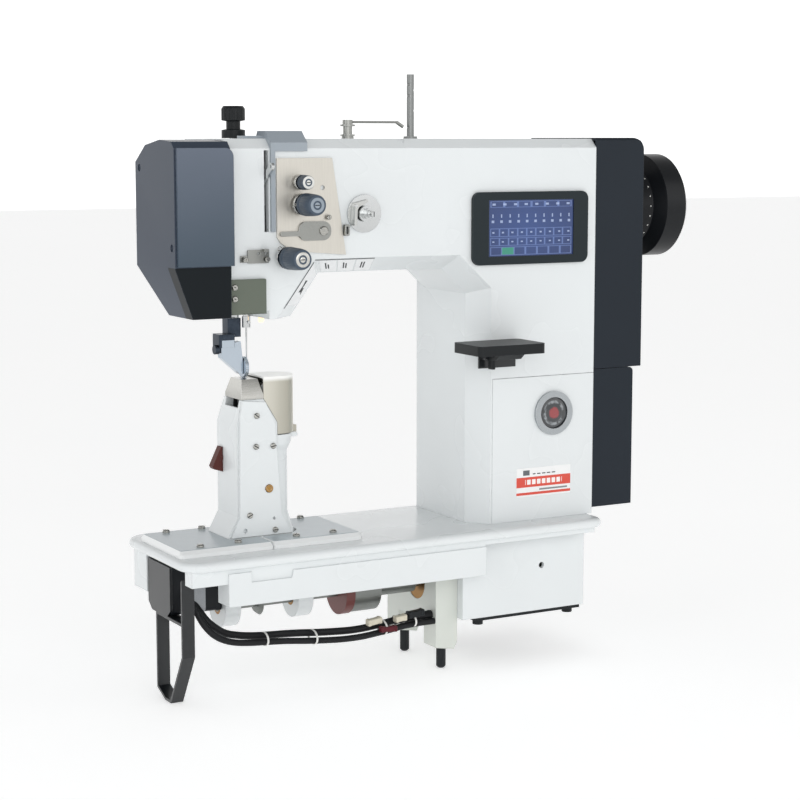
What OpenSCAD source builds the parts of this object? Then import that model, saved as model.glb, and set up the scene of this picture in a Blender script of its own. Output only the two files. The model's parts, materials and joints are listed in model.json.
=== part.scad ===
// Post-bed roller-foot lockstitch machine head for leather.
// Frame: origin at the middle of the bed's resting rim, +X to the handwheel, +Y away from the
// operator, +Z up. Millimetres.

/* [Bed] */
// Length of the bed plate
bed_len = 517; // [500:1:640]
// Width of the bed plate, front to back
bed_wid = 178; // [160:1:220]
// Thickness of the bed plate
bed_thk = 11; // [9:0.5:14]
// Wall of the skirt under the bed
skirt_wall = 6; // [4:0.5:8]
// Depth of the front skirt under the bed
skirt_depth = 40; // [30:1:50]
// Thickness of the two cover plates round the post
base_plate_thk = 8; // [6:0.5:10]

/* [Column and arm] */
// Length of the column along the bed
col_len = 156; // [140:1:190]
// Depth of the column, front to back
col_dep = 135; // [125:1:160]
// Height of the top of the arm
arm_top = 440; // [400:1:530]
// Height of the room under the arm, from the bed's resting rim
arm_under = 298; // [285:1:320]
// Distance from the needle to the column
reach = 253.4; // [240:1:300]
// Wall of the arm casting
cast_wall = 8; // [6:0.5:10]
// Depth of the motor cover past the column
cover_len = 66; // [60:1:80]

/* [Post] */
// Height of the stitch plate's top
post_top = 187; // [170:1:200]
// Half depth of the post, front side
post_front = 22; // [20:1:26]
// Depth of the post behind the needle line
post_back = 30; // [26:1:36]

/* [Shafts] */
// Radius of the main shaft in the arm
main_r = 7.5; // [6:0.1:9]
// Height of the main shaft
main_z = 362; // [350:1:370]
// Radius of the lower shaft
lower_r = 6; // [5:0.1:7]
// Depth of the lower shaft under the bed
lower_drop = 58; // [52:1:64]
// Radius of the hook's upright shaft
hook_shaft_r = 5; // [4:0.1:6]
// Radial running clearance of every shaft
run = 0.05; // [0.02:0.01:0.08]
// Gap between moving pieces that never touch
gap = 0.4; // [0.3:0.05:0.6]

/* [Stitching] */
// Radius of the needle bar
needle_bar_r = 3.6; // [3:0.1:4.2]
// Radius of the needle
needle_r = 0.8; // [0.5:0.05:1.1]
// Radius of the presser bar
presser_bar_r = 4; // [3.5:0.1:4.5]
// Radius of the rotary hook
hook_r = 18.5; // [16:0.1:19]
// Radius of the roller foot
roller_r = 11; // [9:0.5:13]
// Thickness of the roller foot
roller_thk = 4; // [3:0.1:4.2]
// Radius of the feed wheel in the post
feed_r = 14; // [12:0.5:16]

/* [Handwheel and screen] */
// Outer radius of the handwheel
wheel_r = 60; // [52:1:68]
// Length of the screen's surround
screen_len = 151.7; // [130:0.1:160]
// Height of the screen's surround
screen_hgt = 80; // [70:1:90]
// Outer radius of the oil window
window_r = 25; // [20:1:28]

/* [Hidden] */

// Fineness of round pieces
$fn = 48;

// Bed outline
bed_x0 = -bed_len / 2;
bed_x1 = bed_len / 2;
bed_y0 = -bed_wid / 2;
bed_y1 = bed_wid / 2;
edge_r = bed_thk / 2;
rim = edge_r + 3.5;
web_z = 3;

// Column and arm outline
col_over = 2.8;
col_x1 = bed_x1 + col_over;
col_x0 = col_x1 - col_len;
col_y0 = -56.5;
col_y1 = col_y0 + col_dep;
col_cut_x = 17.6;
col_cut_y = 26.2;
arm_y0 = -47;
arm_y1 = 60;
needle_x = col_x0 - reach;
needle_y = 0;
head_x0 = needle_x - 42;
head_x1 = needle_x + 5;
head_z = arm_under - 36;
gusset_x = needle_x + 42;
gusset_z = arm_under - 45;
gusset_top_x = needle_x + 75.5;
diag_x = col_x0 - 31.2;
diag_z = arm_under - 28.3;
slant_x0 = col_x0 - 85.4;
slant_x1 = col_x0 - 37.4;
top_cut = 10;
low_cut_y = 26;
low_cut_z = 16;

// Shaft centres
main_y = 13;
lower_y = 0;
lower_z = -lower_drop;
hook_x = needle_x + hook_r + 2;
hook_y = 0;
feed_x = needle_x - 4;
feed_out = 0.8;
feed_z = post_top + feed_out - feed_r;
roller_z = post_top + feed_out + 0.2 + roller_r;
presser_x = needle_x - 8;
presser_y = 10;

// Post outline
deck_z = bed_thk;
plate_z = bed_thk + base_plate_thk;
post_x0 = needle_x - 22;
post_x1 = needle_x + 25;
neck_z = post_top - 21;
hook_col_r = 17;
hook_col_x = hook_x + 7.5;
cap_r = 22;
cap_x1 = hook_x + 33;
cap_z0 = post_top - 60;
cap_z1 = post_top + 2.5;

// Machine widths
cover_x0 = col_x1 + 0.2;
cover_x1 = cover_x0 + cover_len;
belt_cover_x1 = cover_x1 - 11;
seam_z = arm_top - 261.5;

// Belt and pulleys
belt_thk = 1.5;
pulley_r = 22;
belt_x = col_x1 - 36;
belt_w = 14;
drive_r = 5.5;
drive_x = feed_x - 8.6;
drive_w = 5;
motor_y = 12.5;
motor_z = -31;
motor_side = 56.4;

// Take-up lever
take_x = needle_x + 3;
take_pivot_y = -14;
take_pivot_z = main_z + 18;
take_thk = 3;

// Tension panel
panel_x0 = needle_x + 13;
panel_y = arm_y0 - 2;
knob_low = [needle_x + 22, arm_under + 19];
knob_main = [needle_x + 42, arm_under + 74];
knob_pre = [needle_x + 40, arm_under + 97];
winder_x = needle_x + 116.6;
winder_z = arm_under + 63;

// Screen and oil window
screen_x0 = col_x1 - 164.5;
screen_z0 = arm_top - 138;
window_x = col_x1 - 55;
window_z = plate_z + 113;
panel_top = plate_z + 156;

// Reverse lever
pad_x0 = col_x0 - 32;
pad_len = 85;
pad_dep = 58;
pad_z = plate_z + 189;
pad_thk = 11;
rev_y = col_y0 - 7;
rev_z = pad_z - 6;

// Oil box
box_x0 = col_x0 - 17.4;
box_x1 = bed_x1 - 7.5;
box_y0 = col_y0;
box_y1 = bed_y1 - 12;
box_z0 = -95;
gear_x0 = box_x0 - 28;

// Cable routes, chosen by hand
harness_r = 4;
main_route = [[-222, -17, -48], [-221, -22, -49], [-218, -28, -55], [-213, -32, -63],
    [-205, -35, -71], [-193, -36, -79], [-178, -37, -83], [-162, -37, -85.5],
    [-144, -37, -87], [-125, -37, -88], [-105, -37, -89.5], [-85, -37, -91.5],
    [-65, -37, -93], [-48, -37, -94], [-32, -37, -94], [-16, -37, -93], [0, -36, -91.5],
    [15, -35, -90], [30, -34, -89.5], [45, -34, -89.5], [gear_x0 - 0.1, -34, -89.5]];
branch_route = [[-228, -17, -38], [-228, -23, -39], [-227, -30, -45], [-224, -36, -55],
    [-219, -41, -66], [-211, -45, -76], [-200, -47, -83], [-186, -47.5, -87.5],
    [-168, -47.5, -90], [-148, -47.5, -91.5], [-126, -47, -93.5], [-102, -46.5, -96.5],
    [-78, -46, -99], [-56, -46, -100.5], [-34, -46, -100.5], [-14, -45.5, -99], [4, -44.5, -97.5],
    [20, -43, -96], [40, -41.5, -95.5], [gear_x0 - 0.1, -41, -95.5]];

// ---------------------------------------------------------------- helpers

module box(x0, x1, y0, y1, z0, z1) {
    translate([x0, y0, z0])
        cube([x1 - x0, y1 - y0, z1 - z0]);
}

module xcyl(r, x0, x1, y, z) {
    translate([x0, y, z])
        rotate([0, 90, 0])
            cylinder(r = r, h = x1 - x0);
}

module ycyl(r, y0, y1, x, z) {
    translate([x, y1, z])
        rotate([90, 0, 0])
            cylinder(r = r, h = y1 - y0);
}

module zcyl(r, z0, z1, x, y) {
    translate([x, y, z0])
        cylinder(r = r, h = z1 - z0);
}

// A cone along Z
module zcone(r0, r1, z0, z1, x, y) {
    translate([x, y, z0])
        cylinder(r1 = r0, r2 = r1, h = z1 - z0);
}

// An outline in X and Z carried along Y
module along_y(y0, y1) {
    translate([0, y1, 0])
        rotate([90, 0, 0])
            linear_extrude(y1 - y0)
                children();
}

// An outline in Y and Z carried along X
module along_x(x0, x1) {
    translate([x0, 0, 0])
        rotate([90, 0, 90])
            linear_extrude(x1 - x0)
                children();
}

// A rectangle with round corners
module round_rect(x0, x1, y0, y1, r) {
    translate([x0 + r, y0])
        square([x1 - x0 - 2 * r, y1 - y0]);
    translate([x0, y0 + r])
        square([x1 - x0, y1 - y0 - 2 * r]);
    for (x = [x0 + r, x1 - r])
        for (y = [y0 + r, y1 - r])
            translate([x, y])
                circle(r);
}

// A plate lying flat with upright round corners
module slab(x0, x1, y0, y1, z0, z1, r) {
    translate([0, 0, z0])
        linear_extrude(z1 - z0)
            round_rect(x0, x1, y0, y1, r);
}

// A plate facing the front with round corners
module front_slab(x0, x1, z0, z1, y0, y1, r) {
    along_y(y0, y1)
        round_rect(x0, x1, z0, z1, r);
}

// The outline of a band round two pulleys, grown by extra
function band_points(a, ra, b, rb, extra) =
    let (d = b - a)
    let (turn = atan2(d[1], d[0]))
    let (lean = acos((ra - rb) / norm(d)))
    let (steps = 16)
    concat(
        [for (k = [0 : steps])
            let (t = turn + lean + k * (360 - 2 * lean) / steps)
            a + (ra + extra) * [cos(t), sin(t)]],
        [for (k = [0 : steps])
            let (t = turn - lean + k * 2 * lean / steps)
            b + (rb + extra) * [cos(t), sin(t)]]);

// A belt with its bore cleared from both pulleys
module belt(x0, x1, a, ra, b, rb) {
    along_x(x0, x1)
        difference() {
            polygon(band_points(a, ra, b, rb, gap + belt_thk));
            polygon(band_points(a, ra, b, rb, gap));
        }
}

// A round cable swept along hand-set points
module cable(points, r) {
    sides = 8;
    n = len(points);
    along = [for (i = [0 : n - 1])
        points[min(i + 1, n - 1)] - points[max(i - 1, 0)]];
    ring = [for (i = [0 : n - 1])
        let (t = along[i] / norm(along[i]))
        let (side = cross(t, [0, 0, 1]) / norm(cross(t, [0, 0, 1])))
        let (up = cross(side, t))
        for (k = [0 : sides - 1])
            points[i] + r * (cos(k * 360 / sides) * side + sin(k * 360 / sides) * up)];
    walls = [for (i = [0 : n - 2])
        for (k = [0 : sides - 1])
            let (a = i * sides + k)
            let (b = i * sides + (k + 1) % sides)
            [a, b, b + sides, a + sides]];
    first = [for (k = [sides - 1 : -1 : 0]) k];
    last = [for (k = [0 : sides - 1]) (n - 1) * sides + k];
    polyhedron(ring, concat(walls, [first, last]));
}

// A pan-head screw with a slot, head along its own +Z
module screw(head_r, head_h) {
    difference() {
        union() {
            cylinder(r = head_r, h = head_h * 0.6);
            translate([0, 0, head_h * 0.6])
                cylinder(r1 = head_r, r2 = head_r * 0.75, h = head_h * 0.4);
        }
        translate([-head_r - 1, -head_r * 0.14, head_h * 0.55])
            cube([2 * head_r + 2, head_r * 0.28, head_h]);
    }
}

// ---------------------------------------------------------------- bed

// The flat-topped plate with a half-round edge
module bed_plate() {
    r_left = 25;
    r_right = 14;
    corner = [[bed_x0, bed_y0, r_left, 1, 1], [bed_x0, bed_y1, r_left, 1, -1],
        [bed_x1, bed_y0, r_right, -1, 1], [bed_x1, bed_y1, r_right, -1, -1]];
    // flat core
    linear_extrude(bed_thk) {
        translate([bed_x0 + r_left, bed_y0 + edge_r])
            square([bed_len - r_left - r_right, bed_wid - bed_thk]);
        translate([bed_x0 + edge_r, bed_y0 + r_left])
            square([r_left, bed_wid - 2 * r_left]);
        translate([bed_x1 - r_right - 0.01, bed_y0 + r_right])
            square([r_right - edge_r + 0.01, bed_wid - 2 * r_right]);
        for (c = corner)
            translate([c[0] + c[3] * c[2], c[1] + c[4] * c[2]])
                circle(c[2] - edge_r);
    }
    // round edges
    xcyl(edge_r, bed_x0 + r_left, bed_x1 - r_right, bed_y0 + edge_r, edge_r);
    xcyl(edge_r, bed_x0 + r_left, bed_x1 - r_right, bed_y1 - edge_r, edge_r);
    ycyl(edge_r, bed_y0 + r_left, bed_y1 - r_left, bed_x0 + edge_r, edge_r);
    ycyl(edge_r, bed_y0 + r_right, bed_y1 - r_right, bed_x1 - edge_r, edge_r);
    // round corners
    for (c = corner)
        translate([c[0] + c[3] * c[2], c[1] + c[4] * c[2], edge_r])
            rotate([0, 0, c[3] > 0 ? (c[4] > 0 ? 180 : 90) : (c[4] > 0 ? 270 : 0)])
                rotate_extrude(angle = 90)
                    translate([c[2] - edge_r, 0])
                        circle(edge_r);
}

// A ring-shaped hanger for the lower shaft, cast under the bed
module hanger(x0, x1, r) {
    along_x(x0, x1)
        difference() {
            union() {
                translate([lower_y, lower_z])
                    circle(r);
                translate([lower_y - r, lower_z])
                    square([2 * r, -lower_z + web_z + 1]);
            }
            translate([lower_y, lower_z])
                circle(lower_r + 3);
        }
}

module bed_casting() {
    inner_y = -bed_y0 - rim;
    inner_x0 = bed_x0 + rim + 1;
    inner_x1 = bed_x1 - rim;
    lip_x = needle_x - 60;
    skirt_x1 = col_x0 - 2;
    color("white")
    difference() {
        union() {
            bed_plate();
            // front skirt
            box(lip_x, skirt_x1, -inner_y, -inner_y + skirt_wall, -skirt_depth, web_z + 1);
            // a raised band along the skirt
            along_y(-inner_y - 2, -inner_y + 1)
                polygon([[lip_x, -skirt_depth], [skirt_x1, -skirt_depth], [skirt_x1, -8],
                    [needle_x + 14, -8], [needle_x + 12, -16], [needle_x - 34, -16],
                    [needle_x - 34, -5], [lip_x, -5]]);
            // left return of the front skirt
            box(lip_x, lip_x + skirt_wall, -inner_y, -inner_y + 26, -skirt_depth, web_z + 1);
            // shallow lip round the left front
            box(inner_x0, lip_x + 1, -inner_y, -inner_y + skirt_wall, -16, web_z + 1);
            box(inner_x0, inner_x0 + skirt_wall, -inner_y, -62, -16, web_z + 1);
            box(inner_x0, inner_x0 + skirt_wall, inner_y - 36, inner_y, -16, web_z + 1);
            // rear skirt and left rear leg
            box(inner_x0, box_x0 - 0.6, inner_y - skirt_wall, inner_y, -skirt_depth - 4,
                web_z + 1);
            box(inner_x0, inner_x0 + 14, inner_y - 36, inner_y, -skirt_depth - 4, web_z + 1);
            // ledge over the oil box
            box(skirt_x1 - 1, inner_x1, -inner_y, -inner_y + skirt_wall, -6, web_z + 1);
            box(inner_x1 - skirt_wall, inner_x1, -inner_y, inner_y, -6, web_z + 1);
            hanger(needle_x - 38, needle_x - 20, 23);
            hanger(needle_x + 49, needle_x + 67, 22);
        }
        // hollow underside inside the resting rim
        difference() {
            box(inner_x0 + skirt_wall, inner_x1 - skirt_wall, -inner_y + skirt_wall,
                inner_y - skirt_wall, -1, web_z);
            box(needle_x - 38, needle_x - 20, -23, 23, -2, web_z + 1);
            box(needle_x + 49, needle_x + 67, -22, 22, -2, web_z + 1);
            box(inner_x0, inner_x0 + 14, inner_y - 36, inner_y, -2, web_z + 1);
            box(lip_x, lip_x + skirt_wall, -inner_y, -inner_y + 26, -2, web_z + 1);
        }
        // opening under the post
        slab(post_x0 + 2, hook_col_x + 12, -post_front + 4, post_back - 4, -1, bed_thk + 1, 4);
        // opening for the timing belt
        slab(belt_x - 6, belt_x + belt_w + 4, -32, main_y + 34, -1, bed_thk + 1, 4);
        // sockets of the two table hinges in the rear edge
        for (x = [bed_x0 + 60, bed_x1 - 60])
            ycyl(3.5, bed_y1 - 8, bed_y1 + 1, x, edge_r);
        // passage of the feed motor's shaft through the left hanger
        xcyl(5, needle_x - 39, needle_x - 19, motor_y, motor_z);
    }
}

// ---------------------------------------------------------------- post

module post_body() {
    // main box of the post, sloping in above the cover's shoulder
    box(post_x0, post_x1, -post_front, post_back, plate_z + 22, neck_z - 26);
    hull() {
        box(post_x0, post_x1, -post_front, post_back, neck_z - 26.2, neck_z - 26);
        box(post_x0 + 5, post_x1 - 16, -post_front, post_back - 8, neck_z - 0.2, neck_z);
    }
    // flared foot
    hull() {
        box(post_x0, post_x1, -post_front, post_back, plate_z + 22, plate_z + 22.2);
        box(post_x0 - 12, post_x1 + 16, -post_front - 6, post_back, plate_z, plate_z + 0.2);
    }
    box(post_x0 - 12, post_x1 + 16, -post_front - 6, post_back, deck_z, plate_z);
}

module post_housing() {
    col_y = hook_col_r - 1;
    color("white")
    difference() {
        union() {
            post_body();
            // round column of the hook shaft, with the cup that carries the hook
            translate([0, 0, deck_z])
                linear_extrude(cap_z0 - 20 - deck_z)
                    union() {
                        translate([hook_col_x, hook_y])
                            circle(hook_col_r);
                        translate([hook_x - 12, hook_y - hook_col_r])
                            square([hook_col_x - hook_x + 12, 2 * hook_col_r]);
                    }
            zcone(hook_col_r, cap_r - 0.5, cap_z0 - 20, cap_z0 - 10, hook_col_x, hook_y);
            zcyl(cap_r - 0.5, cap_z0 - 10, cap_z0 - 1, hook_col_x, hook_y);
            zcone(hook_col_r + 9, hook_col_r, deck_z, plate_z + 22, hook_col_x, hook_y);
            // two ears and the pin that the hook cap turns on
            for (y = [-8, 4.4]) {
                box(cap_x1 - 6, cap_x1, y, y + 3.6, cap_z0 - 6, cap_z0 - 1);
                ycyl(2.5, y, y + 3.6, cap_x1, cap_z0 - 3.5);
            }
            ycyl(1.5, -8, 8, cap_x1, cap_z0 - 3.5);
        }
        // hollow for the feed drive
        box(post_x0 + 3.5, needle_x - 1, -post_front + 5, post_back - 5, deck_z - 1, neck_z - 30);
        box(post_x0 + 3.5, needle_x - 1, -post_front + 5, 16, neck_z - 31, neck_z + 1);
        box(post_x0 + 3.5, hook_x - 8, -post_front + 5, 16, neck_z - 10, neck_z + 1);
        // seats for the upright shaft's bushings
        zcyl(hook_shaft_r + 3, deck_z - 1, neck_z + 5, hook_x, hook_y);
        zcyl(hook_r + 1, cap_z0 + 3, neck_z + 1, hook_x, hook_y);
        // recess of the front cover
        box(post_x0 - 20, post_x1 + 20, -post_front - 7, -post_front + 0.01, plate_z + 0.01,
            plate_z + 22.3);
        // bore of the release lever
        xcyl(3 + run, post_x0 - 1, post_x0 + 4, 20, 100);
    }
}

// Outline of the front cover in X and Z
function post_cover_outline() = [
    [needle_x - 31, plate_z + 0.5], [needle_x - 21, plate_z + 22], [needle_x - 20, neck_z - 18],
    [needle_x - 17, neck_z - 0.3], [needle_x + 10, neck_z - 3], [needle_x + 21, neck_z - 26],
    [needle_x + 25, neck_z - 83], [needle_x + 28, plate_z + 22], [needle_x + 40.5, plate_z + 0.5]];

cover_screws = [[needle_x - 0.8, post_top - 38], [needle_x - 1.9, post_top - 71],
    [needle_x + 18.2, post_top - 71.5], [needle_x - 9.8, plate_z + 23.6],
    [needle_x + 19.8, plate_z + 5.5]];

module post_cover() {
    color("white")
    difference() {
        along_y(-post_front - 3.5, -post_front - 0.2)
            polygon(post_cover_outline());
        for (s = cover_screws)
            ycyl(2.2, -post_front - 5, -post_front + 1, s[0], s[1]);
        // oil plug and two dowel holes
        ycyl(4.5, -post_front - 5, -post_front + 1, needle_x + 13.1, plate_z + 50.8);
        ycyl(2.4, -post_front - 5, -post_front + 1, needle_x - 15, plate_z + 7);
        ycyl(1.6, -post_front - 5, -post_front + 1, needle_x + 19, plate_z + 18);
    }
}

// One of the plates that close the bed round the post
module base_plate(x0, x1) {
    y0 = -60;
    y1 = 52;
    bevel = 5;
    difference() {
        union() {
            slab(x0, x1, y0, y1, bed_thk, plate_z - bevel + 1, 4);
            hull() {
                slab(x0, x1, y0, y1, plate_z - bevel, plate_z - bevel + 1, 4);
                slab(x0 + 2, x1 - 2, y0 + bevel, y1 - bevel, plate_z - 0.2, plate_z, 2);
            }
        }
        box(post_x0 - 12.2, post_x1 + 16.2, -post_front - 6.2, post_back + 0.2, bed_thk - 1,
            plate_z + 1);
        zcyl(hook_col_r + 9.4, bed_thk - 1, plate_z + 1, hook_col_x, hook_y);
    }
}

plate_split = needle_x + 2.5;
left_plate_x0 = needle_x - 104;
right_plate_x1 = needle_x + 108;

module base_plates() {
    color("gainsboro") {
        base_plate(left_plate_x0, plate_split - 0.3);
        base_plate(plate_split + 0.3, right_plate_x1);
    }
}

module throat_plate() {
    x0 = needle_x - 16.5;
    x1 = needle_x + 9;
    y1 = 20;
    belt_pocket = drive_r + belt_thk + 2 * gap;
    color("silver")
    difference() {
        hull() {
            box(x0, x1, -post_front, y1, neck_z + 0.2, neck_z + 5);
            box(x0 + 4, x1 - 3, -post_front + 8, y1 - 6, post_top - 1, post_top);
        }
        // slot and pocket of the feed wheel
        xcyl(feed_r + gap, feed_x - roller_thk / 2 - gap, feed_x + roller_thk / 2 + gap, 0, feed_z);
        // bore of the feed wheel's hub
        xcyl(4.5 + run, drive_x - 1, feed_x + 1, 0, feed_z);
        // pocket of the belt and its pulley
        xcyl(belt_pocket, drive_x - 0.4, drive_x + drive_w + 0.2, 0, feed_z);
        box(drive_x - 0.4, drive_x + drive_w + 0.2, -belt_pocket, belt_pocket, neck_z - 1, feed_z);
        // pocket of the hook
        zcyl(hook_r + 1, neck_z - 1, post_top - 3, hook_x, hook_y);
        // needle hole
        zcyl(needle_r + 0.4, neck_z - 1, post_top + 1, needle_x, needle_y);
        // needle room below the deck
        zcyl(2.4, neck_z - 1, post_top - 2.5, needle_x, needle_y);
    }
}

module bobbin_case() {
    color("silver")
    difference() {
        union() {
            zcyl(hook_r - 5, post_top - 16, post_top - 6, hook_x, hook_y);
            // finger that the opener holds
            box(hook_x, hook_x + hook_r - 1, -3, 3, post_top - 6, post_top - 4);
        }
        difference() {
            zcyl(hook_r - 6.2, post_top - 14.5, post_top - 6, hook_x, hook_y);
            zcyl(2 - run, post_top - 17, post_top - 7, hook_x, hook_y);
        }
    }
}

// Shell over the hook: round to the right, open to the post and below
module hook_cap() {
    cx = hook_x + 10;
    r = cap_r - 0.5;
    wall = 1.8;
    x0 = needle_x + 9.4;
    foot = post_x1 + 0.5;
    color("tan")
    difference() {
        union() {
            difference() {
                intersection() {
                    translate([0, 0, cap_z0])
                        linear_extrude(cap_z1 - cap_z0)
                            union() {
                                translate([cx, hook_y])
                                    circle(r);
                                translate([x0, hook_y - r])
                                    square([cx - x0, 2 * r]);
                            }
                    // left edge follows the post's shoulder
                    along_y(-r - 1, r + 1)
                        polygon([[foot, cap_z0 - 1], [foot, neck_z - 26], [x0, neck_z + 0.5],
                            [x0, cap_z1 + 1], [cx + r + 1, cap_z1 + 1], [cx + r + 1, cap_z0 - 1]]);
                }
                translate([0, 0, cap_z0 - 1])
                    linear_extrude(cap_z1 - cap_z0 - wall + 1)
                        union() {
                            translate([cx, hook_y])
                                circle(r - wall);
                            translate([x0 - 1, hook_y - r + wall])
                                square([cx - x0 + 1, 2 * (r - wall)]);
                        }
            }
            // hinge lug
            ycyl(3, -4, 4, cap_x1, cap_z0 - 3.5);
            box(cap_x1 - 2.5, cap_x1 + 3, -4, 4, cap_z0 - 3.5, cap_z0 + 3);
            box(cx + r - 2.5, cap_x1 + 3, -4, 4, cap_z0 + 0.5, cap_z0 + 6);
        }
        ycyl(1.5 + run, -5, 5, cap_x1, cap_z0 - 3.5);
    }
}

// Small lever on the left of the post
module post_lever() {
    z = 100;
    x1 = post_x0 - gap;
    color("darkred") {
        xcyl(3, x1 - 1, post_x0 + 3.4, 20, z);
        xcyl(6, x1 - 3, x1, 20, z);
        along_y(15, 25)
            polygon([[x1, z + 12], [x1 - 2, z + 12], [x1 - 12, z - 9], [x1 - 10, z - 12],
                [x1, z - 15]]);
    }
}

module bobbin() {
    r = hook_r - 7;
    color("silver")
    translate([hook_x, hook_y, post_top - 14.2])
        rotate_extrude()
            polygon([[2, 0], [r, 0], [r, 1], [4, 1], [4, 6.6], [r, 6.6], [r, 7.6], [2, 7.6]]);
}

module hook() {
    z0 = cap_z0 + 4;
    color("silver")
    difference() {
        union() {
            zcyl(hook_r, post_top - 25, post_top - 7, hook_x, hook_y);
            zcone(hook_shaft_r + 2, hook_r, post_top - 36, post_top - 25, hook_x, hook_y);
            zcyl(hook_shaft_r, lower_z + 20, post_top - 30, hook_x, hook_y);
            // pinion at the foot of the shaft
            zcone(7, 9.5, lower_z + 15.5, lower_z + 20, hook_x, hook_y);
            zcyl(9.5, lower_z + 20, lower_z + 32, hook_x, hook_y);
        }
        // basket that holds the bobbin case
        zcyl(hook_r - 4.6, post_top - 16.4, post_top - 6, hook_x, hook_y);
        // hook point's gap in the rim
        translate([hook_x, hook_y, post_top - 14])
            rotate([0, 0, 150])
                translate([hook_r - 5, -6, 0])
                    cube([8, 12, 10]);
    }
}

module feed_wheel() {
    color("silver")
    difference() {
        union() {
            xcyl(feed_r, feed_x - roller_thk / 2, feed_x + roller_thk / 2, 0, feed_z);
            xcyl(4.5, drive_x, feed_x, 0, feed_z);
            xcyl(drive_r, drive_x, drive_x + drive_w, 0, feed_z);
        }
        // shallow knurl grooves across the tread
        for (k = [0 : 35])
            translate([feed_x - roller_thk, 0, feed_z])
                rotate([k * 10, 0, 0])
                    translate([0, -0.25, feed_r - 0.4])
                        cube([2 * roller_thk, 0.5, 1]);
    }
}

// ---------------------------------------------------------------- arm

// Corner lines of the chamfer that follows the column, the underside and the gusset: each row
// has a point on the inner face and its partner on the front face
diag_slope = (col_x0 - diag_x) / (arm_under - diag_z);
gusset_slope = (gusset_top_x - gusset_x) / (arm_under - gusset_z);
col_in_y = col_y0 + col_cut_y;
arm_in_y = arm_y0 + low_cut_y;
low_front_z = arm_under + low_cut_z;
mitre_z = diag_z + 7.3;
diag_front_x = col_x0 + col_cut_x - (low_front_z - mitre_z) * diag_slope;
gusset_drop = arm_under - gusset_z + 5;
gusset_front_x = gusset_top_x - 17;
chamfer_rows = [
    [[col_x0, col_in_y, deck_z - 5], [col_x0 + col_cut_x, col_y0, deck_z - 5]],
    [[col_x0, col_in_y, diag_z], [col_x0 + col_cut_x, col_y0, mitre_z]],
    [[diag_x, col_in_y, arm_under], [diag_front_x, col_y0, low_front_z]],
    [[slant_x1, col_in_y, arm_under], [slant_x1, col_y0, low_front_z]],
    [[slant_x0, arm_in_y, arm_under], [slant_x0, arm_y0, low_front_z]],
    [[gusset_top_x, arm_in_y, arm_under], [gusset_front_x, arm_y0, low_front_z]],
    [[gusset_top_x - gusset_drop * gusset_slope, arm_in_y, arm_under - gusset_drop],
        [gusset_front_x - (gusset_drop + low_cut_z) * gusset_slope, arm_y0,
        arm_under - gusset_drop]]];

// The cutter that makes the chamfer: a three-sided bar swept along the corner lines
module front_chamfer() {
    past = 0.12;
    last = len(chamfer_rows) - 1;
    bar = [for (row = chamfer_rows)
        let (inner = row[0] + past * (row[0] - row[1]))
        let (front = row[1] + past * (row[1] - row[0]))
        for (point = [inner, front, [inner[0], front[1], inner[2]]])
            point];
    sides = [for (i = [0 : last - 1])
        for (k = [0 : 2])
            let (a = 3 * i + k)
            let (b = 3 * i + (k + 1) % 3)
            for (face = [[b, b + 3, a + 3], [b, a + 3, a]])
                face];
    polyhedron(bar, concat([[2, 1, 0], [3 * last, 3 * last + 1, 3 * last + 2]], sides));
}

module arm_outer() {
    // upper block with the slanted step between arm and column
    difference() {
        translate([0, 0, arm_under])
            linear_extrude(arm_top - arm_under)
                polygon([[head_x0, arm_y0], [slant_x0, arm_y0], [slant_x1, col_y0],
                    [col_x1, col_y0], [col_x1, col_y1], [col_x0 - 10, col_y1],
                    [col_x0 - 30, arm_y1], [head_x0, arm_y1]]);
        // top edges
        along_x(head_x0 - 1, slant_x0)
            polygon([[arm_y0 - 1, arm_top + 1], [arm_y0 - 1, arm_top - top_cut - 1],
                [arm_y0 + top_cut + 1, arm_top + 1]]);
        translate([slant_x0, arm_y0, arm_top])
            rotate([0, 0, -atan2(arm_y0 - col_y0, slant_x1 - slant_x0)])
                along_x(-1, slant_x1 - slant_x0 + 2)
                    polygon([[-1, 1], [-1, -top_cut - 1], [top_cut + 1, 1]]);
        along_x(slant_x1, col_x1 + 1)
            polygon([[col_y0 - 1, arm_top + 1], [col_y0 - 1, arm_top - top_cut - 1],
                [col_y0 + top_cut + 1, arm_top + 1]]);
        along_x(head_x0 - 1, col_x1 + 1)
            polygon([[col_y1 + 1, arm_top + 1], [col_y1 + 1, arm_top - top_cut - 1],
                [col_y1 - top_cut - 1, arm_top + 1]]);
    }
    // column
    translate([0, 0, deck_z])
        linear_extrude(arm_under - deck_z + 1)
            polygon([[col_x0, col_y0], [col_x1, col_y0], [col_x1, col_y1], [col_x0, col_y1]]);
    // diagonal shoulder
    along_y(col_y0, arm_y1)
        polygon([[diag_x, arm_under + 0.5], [diag_x, arm_under], [col_x0, diag_z],
            [col_x0 + 22, diag_z], [col_x0 + 22, arm_under + 0.5]]);
    // head and gusset
    along_y(arm_y0, arm_y1 - 10)
        polygon([[head_x0, arm_under + 1], [head_x0, head_z], [head_x1, head_z],
            [head_x1, gusset_z], [gusset_x, gusset_z], [gusset_top_x, arm_under],
            [gusset_top_x, arm_under + 1]]);
}

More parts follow.
